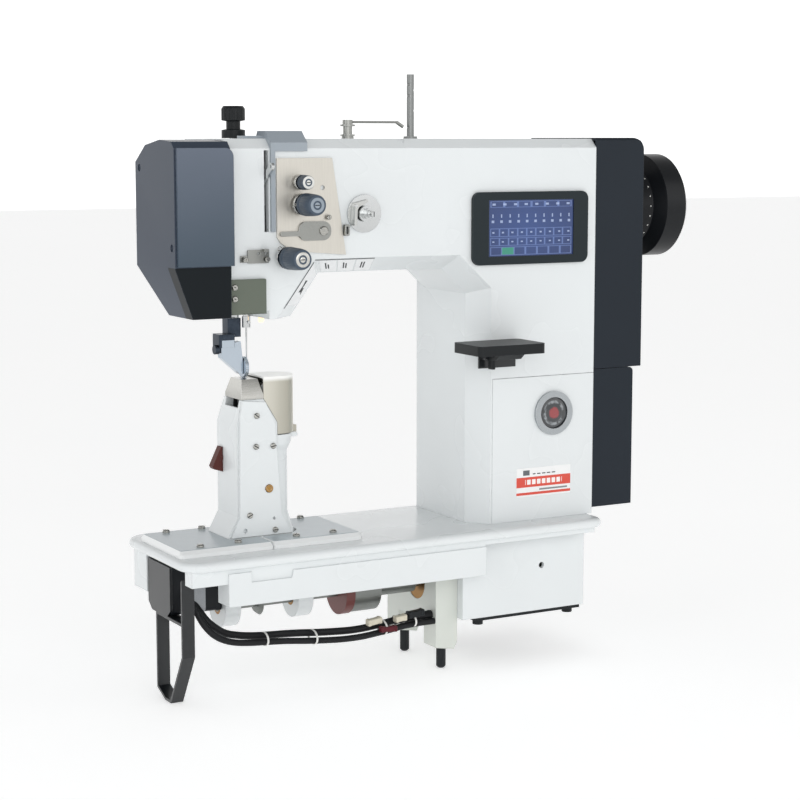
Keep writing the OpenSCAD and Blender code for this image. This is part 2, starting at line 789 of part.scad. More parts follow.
module arm_casting() {
    floor_z = arm_under + 24;
    web_x0 = needle_x + 44;
    web_x1 = web_x0 + 14;
    roof = arm_top - cast_wall;
    in_y0 = arm_y0 + cast_wall;
    in_y1 = arm_y1 - cast_wall;
    color("white")
    difference() {
        union() {
            difference() {
                arm_outer();
                front_chamfer();
                // head room, open at the left under the face cover
                box(head_x0 - 1, web_x0, in_y0, in_y1 - 10, arm_under + 8, roof);
                box(head_x0 - 1, web_x0 - 16, in_y0, in_y1 - 10, head_z + 8, arm_under + 9);
                // arm room
                box(web_x1, col_x1 - cast_wall, in_y0, in_y1, floor_z, roof);
                box(web_x1 + 10, col_x1 - cast_wall, in_y0 + 26, in_y1, arm_under + 8, floor_z + 1);
                // column room, open to the bed below
                box(col_x0 + cast_wall, col_x1 - cast_wall, col_y0 + 28, col_y1 - cast_wall,
                    deck_z - 1, floor_z + 1);
                box(col_x0 + 26, col_x1 - cast_wall, col_y0 + cast_wall, col_y1 - cast_wall,
                    deck_z - 1, floor_z + 1);
                // access window behind the needle guard
                box(head_x0 + 6, needle_x - 2, arm_y0 - 1, in_y0 + 1, head_z - 1, arm_under - 4);
            }
            // lower and upper bearing blocks of the two bars
            box(presser_x - 12, needle_x + 10, -12, in_y1 - 8, head_z, head_z + 24);
            box(presser_x - 12, needle_x + 10, -7, in_y1 - 8, roof - 50, roof + 1);
            // boss of the take-up lever
            box(take_x + 4, take_x + 20, in_y0 - 1, take_pivot_y + 9, take_pivot_z - 9,
                take_pivot_z + 9);
        }
        // bars
        zcyl(needle_bar_r + 1.6, head_z - 1, head_z + 25, needle_x, needle_y);
        zcyl(needle_bar_r + 1.6, roof - 51, roof + 0.5, needle_x, needle_y);
        zcyl(presser_bar_r + 1.6, head_z - 1, head_z + 25, presser_x, presser_y);
        zcyl(presser_bar_r + 1.6, roof - 51, arm_top + 1, presser_x, presser_y);
        // take-up lever
        xcyl(4 + run, take_x, take_x + 21, take_pivot_y, take_pivot_z);
        box(take_x - 2.5, take_x + 2.5, arm_y0 - 1, in_y0 + 1, main_z - 18, main_z + 66);
        // main shaft
        xcyl(main_r + 4, web_x0 - 1, web_x1 + 1, main_y, main_z);
        xcyl(main_r + 4, col_x1 - cast_wall - 1, col_x1 + 1, main_y, main_z);
        // tension posts, winder and oil window
        ycyl(4, arm_y0 - 1, in_y0 + 1, knob_low[0], knob_low[1]);
        ycyl(4, arm_y0 - 1, in_y0 + 1, knob_main[0], knob_main[1]);
        ycyl(4, arm_y0 - 1, in_y0 + 1, knob_pre[0], knob_pre[1]);
        ycyl(3 + run, arm_y0 - 1, in_y0 + 1, winder_x, winder_z);
        ycyl(window_r - 4, col_y0 - 1, col_y0 + cast_wall + 1, window_x, window_z);
        // seat of the front panel
        box(col_x0 + col_cut_x + 2.5, col_x1 + 1, col_y0 - 1, col_y0 + 4, deck_z - 1, panel_top);
        // seat of the screen
        front_slab(screen_x0 + 12, screen_x0 + screen_len - 12, screen_z0 + 8,
            screen_z0 + screen_hgt - 8, col_y0 - 1, col_y0 + cast_wall + 1, 3);
    }
}

module column_panel() {
    color("white")
    difference() {
        box(col_x0 + col_cut_x + 2.8, col_x1, col_y0, col_y0 + 4, deck_z, panel_top - 0.4);
        ycyl(window_r - 4, col_y0 - 1, col_y0 + 5, window_x, window_z);
    }
}

// ---------------------------------------------------------------- covers

// Side outline of the face cover, in Y and Z, shrunk by s
function face_side(s) = [
    [arm_y0 - 10 + s, arm_under + 10], [arm_y1 - 13 - s, arm_under + 10],
    [arm_y1 - 13 - s, arm_top - 24 - s / 2], [arm_y1 - 41 - s / 2, arm_top - 6.5 - s],
    [arm_y1 - 80, arm_top - 1 - s], [arm_y0 - 3 + s / 2, arm_top - 3 - s],
    [arm_y0 - 10 + s, arm_top - 10 - s / 2]];

// The tapered lower part, shrunk by s
module face_foot(s) {
    x0 = head_x0 - 62;
    hull() {
        box(x0 + s, head_x0 + s, arm_y0 - 10 + s, arm_y1 - 13 - s, arm_under + 10,
            arm_under + 10.2);
        box(x0 + 19 + s, head_x0 + s, arm_y0 - 9 + s, arm_y1 - 53 - s, arm_under - 41 + s,
            arm_under - 40.8 + s);
    }
}

module face_cover() {
    x0 = head_x0 - 62;
    wall = 3;
    color("slategray")
    difference() {
        union() {
            along_x(x0, head_x0)
                polygon(face_side(0));
            face_foot(0);
        }
        along_x(x0 + wall, head_x0 + 1)
            polygon(face_side(wall));
        face_foot(wall);
        // screw recesses in the side
        xcyl(4, x0 - 1, x0 + 1.5, arm_y1 - 24, arm_top - 30);
        xcyl(4, x0 - 1, x0 + 1.5, arm_y0 - 2, arm_under + 32);
    }
}

// The raised lid on the front of the face cover
module face_lid() {
    x0 = head_x0 - 60;
    x1 = head_x0 + 2;
    z0 = arm_under + 13;
    z1 = arm_top - 9.3;
    color("slategray")
    along_y(arm_y0 - 14, arm_y0 - 10.2)
        union() {
            polygon([[x0, z0], [x1, z0], [x1, z1 - 9], [x1 - 9, z1], [x0, z1]]);
            translate([x1 - 9, z1 - 9])
                circle(9);
        }
}

// A cover with its open side to the column: outline in X and Z
module side_cover(x1, z0, z1, r, wall) {
    difference() {
        along_y(col_y0, col_y1)
            union() {
                translate([cover_x0, z0])
                    square([x1 - cover_x0, z1 - z0 - r]);
                translate([cover_x0, z1 - r - 1])
                    square([x1 - cover_x0 - r, r + 1]);
                translate([x1 - r, z1 - r])
                    circle(r);
            }
        along_y(col_y0 + wall, col_y1 - wall)
            union() {
                translate([cover_x0 - 1, z0 + wall])
                    square([x1 - cover_x0 + 1 - wall, z1 - z0 - r - wall]);
                translate([cover_x0 - 1, z1 - r - 1])
                    square([x1 - cover_x0 + 1 - r, r + 1 - wall]);
                translate([x1 - r, z1 - r])
                    circle(r - wall);
            }
    }
}

module motor_cover() {
    color("midnightblue")
    difference() {
        side_cover(cover_x1, seam_z + 0.3, arm_top + 1, 14, 3);
        xcyl(main_r + 26, cover_x1 - 5, cover_x1 + 1, main_y, main_z);
        // front top edge
        along_x(cover_x0 - 1, cover_x1 + 1)
            polygon([[col_y0 - 1, arm_top + 2], [col_y0 - 1, arm_top - 3],
                [col_y0 + 4, arm_top + 2]]);
    }
}

module belt_cover() {
    color("midnightblue")
    side_cover(belt_cover_x1, plate_z - 1, seam_z - 0.3, 5, 3);
}

module drive_motor() {
    color("dimgray")
    difference() {
        union() {
            xcyl(48, col_x1 + 0.5, col_x1 + 36, main_y, main_z);
            xcyl(30, col_x1 + 36, col_x1 + 44, main_y, main_z);
        }
        xcyl(32, col_x1 + 6, col_x1 + 31, main_y, main_z);
        xcyl(main_r + 4, col_x1 - 1, col_x1 + 45, main_y, main_z);
    }
}

module handwheel() {
    x0 = cover_x1 + 2.5;
    color("black")
    translate([x0, main_y, main_z])
        rotate([0, 90, 0])
            rotate_extrude($fn = 96)
                polygon([[main_r, -14], [20, -14], [20, 0], [38, 0], [41, 10], [45, 30],
                    [wheel_r - 5, 37], [wheel_r, 40], [wheel_r, 66], [wheel_r - 3, 69],
                    [wheel_r - 9, 69], [wheel_r - 12, 62], [26, 56], [22, 62], [main_r + 6, 62],
                    [main_r + 6, 50], [main_r, 50]]);
}

module main_shaft() {
    x0 = needle_x + 30;
    color("silver") {
        xcyl(main_r, x0, cover_x1 + 52, main_y, main_z);
        // needle crank
        xcyl(24, x0, x0 + 9, main_y, main_z);
        xcyl(5, x0 - 9, x0 + 1, main_y, main_z - 12);
        // friction wheel of the bobbin winder
        xcyl(17, winder_x - 3, winder_x + 4, main_y, main_z);
        // timing pulley
        xcyl(pulley_r, belt_x, belt_x + belt_w, main_y, main_z);
        // motor rotor
        xcyl(31, col_x1 + 8, col_x1 + 29, main_y, main_z);
    }
}

module lower_shaft() {
    color("gray") {
        xcyl(lower_r, needle_x - 38.6, belt_x + belt_w + 6, lower_y, lower_z);
        // bevel wheel that drives the upright shaft
        translate([hook_x - 9.8, lower_y, lower_z])
            rotate([0, -90, 0])
                cylinder(r1 = 15, r2 = 12, h = 4);
        xcyl(15, hook_x - 9.8, hook_x - 9.7, lower_y, lower_z);
        // overload clutch
        xcyl(25, needle_x + 117, needle_x + 150, lower_y, lower_z);
        xcyl(11, needle_x + 150, gear_x0 - 6, lower_y, lower_z);
        // timing pulley
        xcyl(pulley_r, belt_x, belt_x + belt_w, lower_y, lower_z);
    }
}

module clutch_disc() {
    color("darkred")
    difference() {
        xcyl(26, needle_x + 106, needle_x + 116.9, lower_y, lower_z);
        xcyl(lower_r, needle_x + 100, needle_x + 120, lower_y, lower_z);
    }
}

module timing_belt() {
    color("black")
    belt(belt_x + 1, belt_x + belt_w - 1, [lower_y, lower_z], pulley_r, [main_y, main_z], pulley_r);
}

module bushings() {
    web_x0 = needle_x + 44;
    roof = arm_top - cast_wall;
    color("goldenrod") {
        // main shaft
        for (x = [web_x0, col_x1 - cast_wall])
            difference() {
                xcyl(main_r + 3.95, x + 0.1, x + (x < 0 ? 13.9 : cast_wall + 0.1), main_y, main_z);
                xcyl(main_r + run, x - 1, x + 20, main_y, main_z);
            }
        // lower shaft in its hangers
        for (x = [needle_x - 38, needle_x + 49])
            difference() {
                xcyl(lower_r + 2.95, x, x + 18, lower_y, lower_z);
                xcyl(lower_r + run, x - 1, x + 19, lower_y, lower_z);
            }
        // bearing in the gear housing
        difference() {
            xcyl(19.95, gear_x0 + 0.5, gear_x0 + 11.9, lower_y, lower_z);
            xcyl(lower_r + run, gear_x0 - 1, gear_x0 + 13, lower_y, lower_z);
        }
        // needle bar and presser bar
        for (z = [head_z + 0.5, roof - 49.5]) {
            difference() {
                zcyl(needle_bar_r + 1.55, z, z + 23, needle_x, needle_y);
                zcyl(needle_bar_r + run, z - 1, z + 24, needle_x, needle_y);
            }
            difference() {
                zcyl(presser_bar_r + 1.55, z, z + 23, presser_x, presser_y);
                zcyl(presser_bar_r + run, z - 1, z + 24, presser_x, presser_y);
            }
        }
        // hook shaft
        for (z = [deck_z, cap_z0 - 26])
            difference() {
                zcyl(hook_shaft_r + 2.95, z + 0.5, z + 22, hook_x, hook_y);
                zcyl(hook_shaft_r + run, z - 1, z + 23, hook_x, hook_y);
            }
    }
}

// ---------------------------------------------------------------- column fittings

module sight_ring() {
    color("gainsboro")
    difference() {
        union() {
            ycyl(window_r, col_y0 - 3, col_y0 - 0.05, window_x, window_z);
            ycyl(window_r - 4.2, col_y0 - 0.1, col_y0 + 7, window_x, window_z);
        }
        ycyl(window_r - 7, col_y0 - 4, col_y0 + 8, window_x, window_z);
    }
}

module sight_glass() {
    color("black")
    ycyl(window_r - 7.1, col_y0 - 1.5, col_y0 + 5, window_x, window_z);
}

module screen_bezel() {
    x1 = screen_x0 + screen_len;
    z1 = screen_z0 + screen_hgt;
    color("darkslategray")
    difference() {
        union() {
            front_slab(screen_x0, x1, screen_z0, z1, col_y0 - 4, col_y0 - 0.05, 9);
            front_slab(screen_x0 + 12.5, x1 - 12.5, screen_z0 + 8.5, z1 - 8.5, col_y0 - 0.1,
                col_y0 + 7, 3);
        }
        box(screen_x0 + 20.5, x1 - 19.5, col_y0 - 5, col_y0 + 1, screen_z0 + 9, z1 - 9);
    }
}

module screen() {
    x1 = screen_x0 + screen_len;
    z1 = screen_z0 + screen_hgt;
    color("royalblue")
    box(screen_x0 + 20.6, x1 - 19.6, col_y0 - 2.8, col_y0 + 0.9, screen_z0 + 9.1, z1 - 9.1);
}

module reverse_bracket() {
    x0 = pad_x0 + 36;
    x1 = x0 + 42;
    color("black")
    difference() {
        union() {
            box(x0 - 3, x1 + 3, col_y0 - 2, col_y0 - 0.05, rev_z - 14, rev_z + 3);
            for (x = [x0, x1 - 4]) {
                box(x, x + 4, rev_y, col_y0 - 1, rev_z - 4, rev_z + 3);
                xcyl(4, x, x + 4, rev_y, rev_z);
            }
        }
        xcyl(2.5 + run, x0 - 1, x1 + 1, rev_y, rev_z);
    }
}

module reverse_lever() {
    x0 = pad_x0 + 36;
    x1 = x0 + 42;
    y0 = col_y0 - 0.6 - pad_dep;
    color("black") {
        // finger pad with round corners
        slab(pad_x0, pad_x0 + pad_len, y0, col_y0 - 0.6, pad_z, pad_z + pad_thk, 6);
        // hub and its pin
        xcyl(2.5, x0 - 0.5, x1 + 0.5, rev_y, rev_z);
        difference() {
            along_x(x0 + 4.4, x1 - 4.4)
                polygon([[rev_y - 30, pad_z + 0.5], [rev_y + 3, pad_z + 0.5], [rev_y + 3, rev_z - 3],
                    [rev_y - 2, rev_z - 5], [rev_y - 18, rev_z - 3]]);
            xcyl(1.5, x0 + 3, x1 - 3, rev_y - 14, rev_z + 1);
        }
        // cam finger behind the pad
        box(x0 + 5, x0 + 9, rev_y - 10, rev_y - 2, rev_z - 14, rev_z - 3);
    }
}

// ---------------------------------------------------------------- head fittings

module tension_plate() {
    z0 = arm_under + 20;
    z1 = arm_top - 20;
    color("antiquewhite")
    difference() {
        along_y(panel_y, arm_y0 - 0.05)
            polygon([[panel_x0 + 1, z1], [panel_x0 + 65.5, z1], [panel_x0 + 81.6, z0],
                [panel_x0 + 19, z0 + 5.4], [panel_x0 + 5, z0 + 14], [panel_x0 + 1, z0 + 20]]);
        ycyl(4, panel_y - 1, arm_y0 + 1, knob_low[0], knob_low[1]);
        ycyl(4, panel_y - 1, arm_y0 + 1, knob_main[0], knob_main[1]);
        ycyl(4, panel_y - 1, arm_y0 + 1, knob_pre[0], knob_pre[1]);
        ycyl(2.5, panel_y - 1, arm_y0 + 1, needle_x + 67, arm_under + 91);
    }
}

// A threaded post with its two pressing discs; spring_len is the room for the spring
module tension_post(p, disc_r, length) {
    ycyl(3.9, arm_y0 - 1.8, arm_y0 + cast_wall, p[0], p[1]);
    ycyl(2, arm_y0 - length, arm_y0 - 1, p[0], p[1]);
    ycyl(disc_r * 0.8, arm_y0 - 5, arm_y0 - 2.05, p[0], p[1]);
    ycyl(disc_r, arm_y0 - 7.2, arm_y0 - 6, p[0], p[1]);
    ycyl(3, arm_y0 - 7, arm_y0 - 4, p[0], p[1]);
    ycyl(disc_r, arm_y0 - 9, arm_y0 - 7.8, p[0], p[1]);
    ycyl(3, arm_y0 - 11, arm_y0 - 7, p[0], p[1]);
}

module tension_posts() {
    color("silver") {
        tension_post(knob_pre, 8, 22);
        tension_post(knob_main, 11.5, 38);
        tension_post(knob_low, 11.5, 44);
    }
}

// A tension nut: knurled skirt and smooth cap, bored for its post
module tension_knob(p, r, y0, y1) {
    difference() {
        translate([p[0], y0, p[1]])
            rotate([-90, 0, 0])
                rotate_extrude()
                    polygon([[2.05, 0], [r * 0.62, 0], [r * 0.72, 1.2], [r * 0.75, (y1 - y0) * 0.5],
                        [r, (y1 - y0) * 0.62], [r, y1 - y0], [2.05, y1 - y0]]);
        // grip flats round the skirt
        for (k = [0 : 11])
            translate([p[0], y0, p[1]])
                rotate([0, k * 30, 0])
                    translate([r + 0.8, (y1 - y0) * 0.5, 0])
                        rotate([-90, 0, 0])
                            cylinder(r = 1.4, h = y1 - y0, $fn = 24);
    }
}

module pre_tension_knob() {
    color("white")
    tension_knob(knob_pre, 8, arm_y0 - 24, arm_y0 - 12);
}

module main_tension_knob() {
    color("dimgray")
    tension_knob(knob_main, 12, arm_y0 - 40, arm_y0 - 13);
}

module lower_tension_knob() {
    color("dimgray")
    tension_knob(knob_low, 12, arm_y0 - 46, arm_y0 - 13);
}

module thread_guides() {
    y0 = panel_y - 2.2;
    color("silver") {
        // keyhole retainer under the main tension
        difference() {
            front_slab(needle_x + 38, needle_x + 76, arm_under + 36, arm_under + 56, y0,
                panel_y - 0.05, 9);
            ycyl(3.2, y0 - 1, panel_y + 1, needle_x + 67, arm_under + 46);
        }
        front_slab(needle_x + 17, needle_x + 40, arm_under + 41, arm_under + 46, y0,
            panel_y - 0.05, 2);
        // small bracket on the head
        difference() {
            front_slab(needle_x - 20, needle_x + 4, arm_under + 14, arm_under + 28,
                arm_y0 - 3, arm_y0 - 0.05, 1.5);
            ycyl(1.6, arm_y0 - 4, arm_y0 + 1, needle_x - 8, arm_under + 24);
            ycyl(1.6, arm_y0 - 4, arm_y0 + 1, needle_x + 1, arm_under + 24);
        }
        box(needle_x - 28, needle_x - 19.5, arm_y0 - 2, arm_y0 - 0.05, arm_under + 15,
            arm_under + 22);
        box(needle_x - 4, needle_x + 1, arm_y0 - 9, arm_y0 - 2.9, arm_under + 26, arm_under + 29);
        // square clip right of the tension panel
        difference() {
            front_slab(needle_x + 91.6, needle_x + 97, arm_under + 40, arm_under + 52,
                arm_y0 - 6, arm_y0 - 0.05, 1.5);
            front_slab(needle_x + 92.9, needle_x + 95.7, arm_under + 42, arm_under + 50,
                arm_y0 - 7, arm_y0 + 1, 1);
        }
        // arm-top guide: stud, nut, discs and the long thread arm
        zcyl(2, arm_top + 0.05, arm_top + 20, needle_x + 112, -20);
        zcyl(6.5, arm_top + 0.05, arm_top + 3, needle_x + 112, -20);
        zcyl(8, arm_top + 3, arm_top + 4.5, needle_x + 112, -20);
        zcyl(5, arm_top + 4.5, arm_top + 13, needle_x + 112, -20);
        zcyl(8, arm_top + 13, arm_top + 15, needle_x + 112, -20);
        zcyl(5.5, arm_top + 15, arm_top + 20, needle_x + 112, -20);
        xcyl(1.2, needle_x + 112, needle_x + 172, -20, arm_top + 17.5);
        translate([needle_x + 172, -20, arm_top + 17.5])
            rotate([0, 122, 0])
                cylinder(r = 1.9, h = 9);
    }
}

module thread_pole() {
    x = needle_x + 189;
    y = -20;
    color("silver") {
        zcyl(7.5, arm_top + 0.05, arm_top + 2.5, x, y);
        difference() {
            zcyl(4, arm_top + 2, arm_top + 69, x, y);
            zcyl(1.6, arm_top + 56, arm_top + 70, x, y);
            // thread notches up the pole
            for (n = [[12, 4], [30, -4], [46, 4], [52, -4], [58, 4]])
                ycyl(1.8, y - 6, y + 6, x - n[1], arm_top + n[0]);
        }
    }
}

module needle_guard() {
    x0 = head_x0 + 1;
    x1 = needle_x;
    color("gray")
    difference() {
        union() {
            front_slab(x0, x1, head_z - 1, arm_under - 2, arm_y0 - 4, arm_y0 - 0.05, 1.5);
            // turned-in bottom lip
            box(x0 + 2, x1, arm_y0 - 4, arm_y0 + 2, head_z - 2.5, head_z - 0.1);
        }
        // slots in the lip
        for (k = [0 : 5])
            box(x0 + 14 + k * 4, x0 + 16 + k * 4, arm_y0 - 5, arm_y0 - 2, head_z - 3, head_z - 1.5);
    }
}

module lamp() {
    x = needle_x + 9;
    color("wheat") {
        zcyl(3, gusset_z - 4, gusset_z - 0.05, x, -18);
        zcone(2, 3, gusset_z - 5.5, gusset_z - 4, x, -18);
    }
}

module take_up_guard() {
    x0 = needle_x + 7;
    color("lightslategray") {
        // saddle over the arm's top edge
        along_x(x0, x0 + 42)
            polygon([[arm_y0 + top_cut, arm_top + 0.05], [arm_y0 + 34, arm_top + 0.05],
                [arm_y0 + 30, arm_top + 8], [arm_y0 + top_cut, arm_top + 8],
                [arm_y0 - 3, arm_top - 4], [arm_y0 - 3, arm_top - 13],
                [arm_y0 - 0.05, arm_top - 13], [arm_y0 - 0.05, arm_top - top_cut + 0.05]]);
        box(x0 - 24, x0 + 1, arm_y0 + 14, arm_y0 + 28, arm_top + 0.05, arm_top + 3);
        // strip down the side of the slot
        box(x0, x0 + 5, arm_y0 - 3, arm_y0 - 0.05, main_z - 18, arm_top - 12);
    }
}

module take_up_lever() {
    color("silver") {
        translate([take_x - take_thk / 2, 0, 0])
            along_x(0, take_thk)
                difference() {
                    union() {
                        translate([take_pivot_y, take_pivot_z])
                            circle(6);
                        polygon([[take_pivot_y + 2, take_pivot_z + 5.4],
                            [arm_y0 - 12, take_pivot_z + 34], [arm_y0 - 16, take_pivot_z + 29],
                            [take_pivot_y - 3, take_pivot_z - 4.6]]);
                        translate([arm_y0 - 13.5, take_pivot_z + 31.5])
                            circle(4);
                    }
                    translate([arm_y0 - 13.5, take_pivot_z + 31.5])
                        circle(1.6);
                }
        xcyl(4, take_x, take_x + 19, take_pivot_y, take_pivot_z);
    }
}

module winder_plate() {
    color("silver")
    difference() {
        union() {
            ycyl(20, arm_y0 - 2.5, arm_y0 - 0.05, winder_x, winder_z);
            ycyl(5.5, arm_y0 - 5, arm_y0 - 0.05, winder_x, winder_z);
            ycyl(2, arm_y0 - 6, arm_y0 - 1, winder_x - 12, winder_z + 8);
        }
        ycyl(3 + run, arm_y0 - 6, arm_y0 + 1, winder_x, winder_z);
    }
}

module winder_spindle() {
    color("silver")
    difference() {
        union() {
            ycyl(3, arm_y0 - 24, arm_y0 + cast_wall + 6, winder_x, winder_z);
            ycyl(8.5, arm_y0 - 8, arm_y0 - 5.4, winder_x, winder_z);
            ycyl(5.5, arm_y0 - 13, arm_y0 - 8, winder_x, winder_z);
            ycyl(4, arm_y0 - 18, arm_y0 - 13, winder_x, winder_z);
        }
        box(winder_x - 0.6, winder_x + 0.6, arm_y0 - 25, arm_y0 - 19, winder_z - 4, winder_z + 4);
    }
}

module winder_latch() {
    x = winder_x - 12;
    z = winder_z + 8;
    color("dimgray")
    difference() {
        union() {
            ycyl(4, arm_y0 - 5.6, arm_y0 - 2.8, x, z);
            along_y(arm_y0 - 5.6, arm_y0 - 2.8)
                polygon([[x - 4, z + 1], [x + 1, z + 4], [x + 14, z + 7], [x + 15, z + 4.5],
                    [x + 4, z - 1]]);
            along_y(arm_y0 - 12, arm_y0 - 2.8)
                polygon([[x - 4, z], [x - 1, z - 2], [x - 2, z - 20], [x - 5, z - 20]]);
        }
        ycyl(2 + run, arm_y0 - 13, arm_y0, x, z);
    }
}

module pressure_knob() {
    z = arm_top;
    color("black")
    difference() {
        translate([presser_x, presser_y, 0])
            rotate_extrude()
                polygon([[presser_bar_r + 0.4, z + 0.4], [12.5, z + 0.4], [12.5, z + 9], [7.5, z + 10],
                    [7.5, z + 18], [12.5, z + 19], [12.5, z + 31], [10.5, z + 34], [0, z + 34],
                    [0, z + 26], [presser_bar_r + 0.4, z + 26]]);
        for (k = [0 : 15])
            translate([presser_x, presser_y, z + 17])
                rotate([0, 0, k * 22.5])
                    translate([13.3, 0, 0])
                        cylinder(r = 1.5, h = 20, $fn = 24);
    }
}

module presser_bar() {
    color("silver") {
        zcyl(presser_bar_r, head_z - 26, arm_top + 12, presser_x, presser_y);
        // spring seat and lifting block inside the head
        zcyl(5.5, main_z - 4, main_z + 8, presser_x, presser_y);
    }
}

module needle_bar() {
    z0 = roller_z + 48;
    color("silver")
    difference() {
        union() {
            zcyl(needle_bar_r, z0, arm_top - 13, needle_x, needle_y);
            // needle clamp and its thread guide
            zcyl(needle_bar_r + 1, z0 - 6, z0 + 6, needle_x, needle_y);
            ycyl(1.6, needle_y - 8, needle_y - 3, needle_x, z0);
            // connecting stud
            xcyl(4, needle_x, needle_x + 10, needle_y, main_z - 12);
            zcyl(needle_bar_r + 2, main_z - 18, main_z - 6, needle_x, needle_y);
        }
        zcyl(needle_r + 0.1, z0 - 7, z0 + 3, needle_x, needle_y);
    }
}

module needle() {
    z0 = roller_z + 7;
    color("silver") {
        zcyl(needle_r + 0.1, z0 + 20, z0 + 42.9, needle_x, needle_y);
        zcyl(needle_r, z0 + 4, z0 + 20, needle_x, needle_y);
        zcone(0.1, needle_r, z0, z0 + 4, needle_x, needle_y);
    }
}

module roller_bracket() {
    z = roller_z;
    side = feed_x - roller_thk / 2 - gap;
    color("slategray")
    difference() {
        union() {
            // clamp on the presser bar
            slab(presser_x - 12, presser_x + 3.2, presser_y - 8, presser_y + 9, z + 32, z + 52, 2);
            // swing block and its thumb screw
            slab(presser_x - 26, presser_x - 8, -7, presser_y + 3, z + 22, z + 36, 2);
            xcyl(5, presser_x - 30, presser_x - 25, -1, z + 20);
            xcyl(3, presser_x - 26, presser_x - 20, -1, z + 20);
            // sloping side arm
            along_y(-5, 5)
                polygon([[presser_x - 24, z + 24], [side - 2.5, z + 28], [side, z + 5], [side, z - 7],
                    [side - 4, z - 7], [presser_x - 23, z + 11]]);
        }
        zcyl(presser_bar_r + 0.02, z + 31, z + 53, presser_x, presser_y);
        xcyl(2 + run, side - 10, side + 1, 0, z);
    }
}

module roller() {
    color("silver")
    difference() {
        union() {
            xcyl(roller_r, feed_x - roller_thk / 2, feed_x + roller_thk / 2, 0, roller_z);
            xcyl(2, feed_x - roller_thk / 2 - 4, feed_x, 0, roller_z);
        }
        for (k = [0 : 35])
            translate([feed_x - roller_thk, 0, roller_z])
                rotate([k * 10, 0, 0])
                    translate([0, -0.25, roller_r - 0.4])
                        cube([2 * roller_thk, 0.5, 1]);
    }
}

// ---------------------------------------------------------------- under the bed

module gearbox_casting() {
    y0 = box_y0 + 11.5;
    y1 = box_y1 - 10;
    color("white")
    difference() {
        union() {
            box(gear_x0, box_x0 - 0.1, y0, y1, -100, web_z - 0.05);
            // front leg
            along_y(y0, y0 + 27)
                polygon([[gear_x0, -60], [gear_x0, -126], [gear_x0 + 24, -130],
                    [gear_x0 + 27.9, -122], [gear_x0 + 27.9, -60]]);
            // rear leg
            along_y(y1 - 27, y1)
                polygon([[gear_x0, -60], [gear_x0, -124], [gear_x0 + 24, -128],
                    [gear_x0 + 27.9, -120], [gear_x0 + 27.9, -60]]);
        }
        xcyl(20, gear_x0 - 1, gear_x0 + 12, lower_y, lower_z);
        xcyl(lower_r + run, gear_x0, box_x0 + 1, lower_y, lower_z);
        // sockets of the two stand rods
        zcyl(5.5, -140, -108, gear_x0 + 15, y0 + 14);
        zcyl(5.5, -140, -108, gear_x0 + 15, y1 - 14);
    }
}

module support_rods() {
    y0 = box_y0 + 11.5;
    y1 = box_y1 - 10;
    color("black")
    for (y = [y0 + 14, y1 - 14]) {
        zcyl(5.48, -151, -108.1, gear_x0 + 15, y);
        zcone(3.5, 5.48, -153, -151, gear_x0 + 15, y);
    }
}

module oil_box() {
    wall = 5;
    color("white")
    difference() {
        box(box_x0, box_x1, box_y0, box_y1, box_z0, -6.05);
        box(box_x0 + wall, box_x1 - wall, box_y0 + wall, box_y1 - wall, box_z0 + wall, 0);
        xcyl(lower_r + 1, box_x0 - 1, box_x0 + wall + 1, lower_y, lower_z);
        // oil level hole
        ycyl(3.5, box_y0 - 1, box_y0 + wall + 1, box_x0 + 105, -43);
    }
}

module oil_box_base() {
    color("black") {
        box(box_x0 + 18, box_x1 - 4, box_y0 + 2, box_y1 - 2, box_z0 - 4, box_z0 - 0.05);
        for (x = [box_x0 + 26, box_x1 - 16])
            for (y = [box_y0 + 10, box_y1 - 10])
                zcyl(6, box_z0 - 9, box_z0 - 3.9, x, y);
    }
}

module feed_motor() {
    x0 = bed_x0 + 14;
    x1 = x0 + 57;
    h = motor_side / 2;
    color("black")
    difference() {
        union() {
            along_x(x0, x1 - 6)
                round_rect(motor_y - h, motor_y + h, motor_z - h, motor_z + h, 5);
            along_x(x1 - 6, x1)
                round_rect(motor_y - h, motor_y + h, motor_z - h, motor_z + h, 3);
        }
        xcyl(4, x1 - 20, x1 + 1, motor_y, motor_z);
    }
}

module feed_pulley() {
    x1 = bed_x0 + 71;
    color("silver") {
        xcyl(3.95, x1 - 18, drive_x + 1, motor_y, motor_z);
        xcyl(drive_r, drive_x, drive_x + drive_w, motor_y, motor_z);
    }
}

module feed_belt() {
    color("black")
    belt(drive_x + 0.3, drive_x + drive_w - 0.3, [motor_y, motor_z], drive_r, [0, feed_z],
        drive_r);
}

// End plate of the feed motor and the flat-bar guard loop that hangs from it
module motor_guard() {
    x0 = bed_x0 + 11;
    x1 = x0 + 14;
    t = 3;
    h = motor_side / 2 + 2;
    color("black") {
        along_x(x0, x0 + 2.9)
            polygon([[motor_y - h, motor_z - h + 8], [motor_y - h + 10, motor_z - h],
                [motor_y + h - 10, motor_z - h], [motor_y + h, motor_z - h + 8],
                [motor_y + h, motor_z + h - 5.5], [motor_y - h, motor_z + h - 5.5]]);
        difference() {
            along_x(x0, x1)
                polygon([[-18, -60], [-46, -60], [-46, -17], [-50, -13], [-50, -97], [-16, -153],
                    [0, -153], [22, -144], [22, -60]]);
            along_x(x0 - 1, x1 + 1)
                polygon([[-19, -60 - t], [-47, -60 - t], [-47, -96], [-14.5, -153 + t],
                    [-0.5, -153 + t], [19, -142], [19, -60 - t]]);
            box(x0 - 1, x1 + 1, -47, 21.9, -59.9, -10);
        }
    }
}

// Harness sleeves and cables between the feed motor and the gearbox
module harness() {
    color("black") {
        cable(main_route, harness_r);
        cable(branch_route, harness_r - 0.5);
    }
}

// ---------------------------------------------------------------- screws

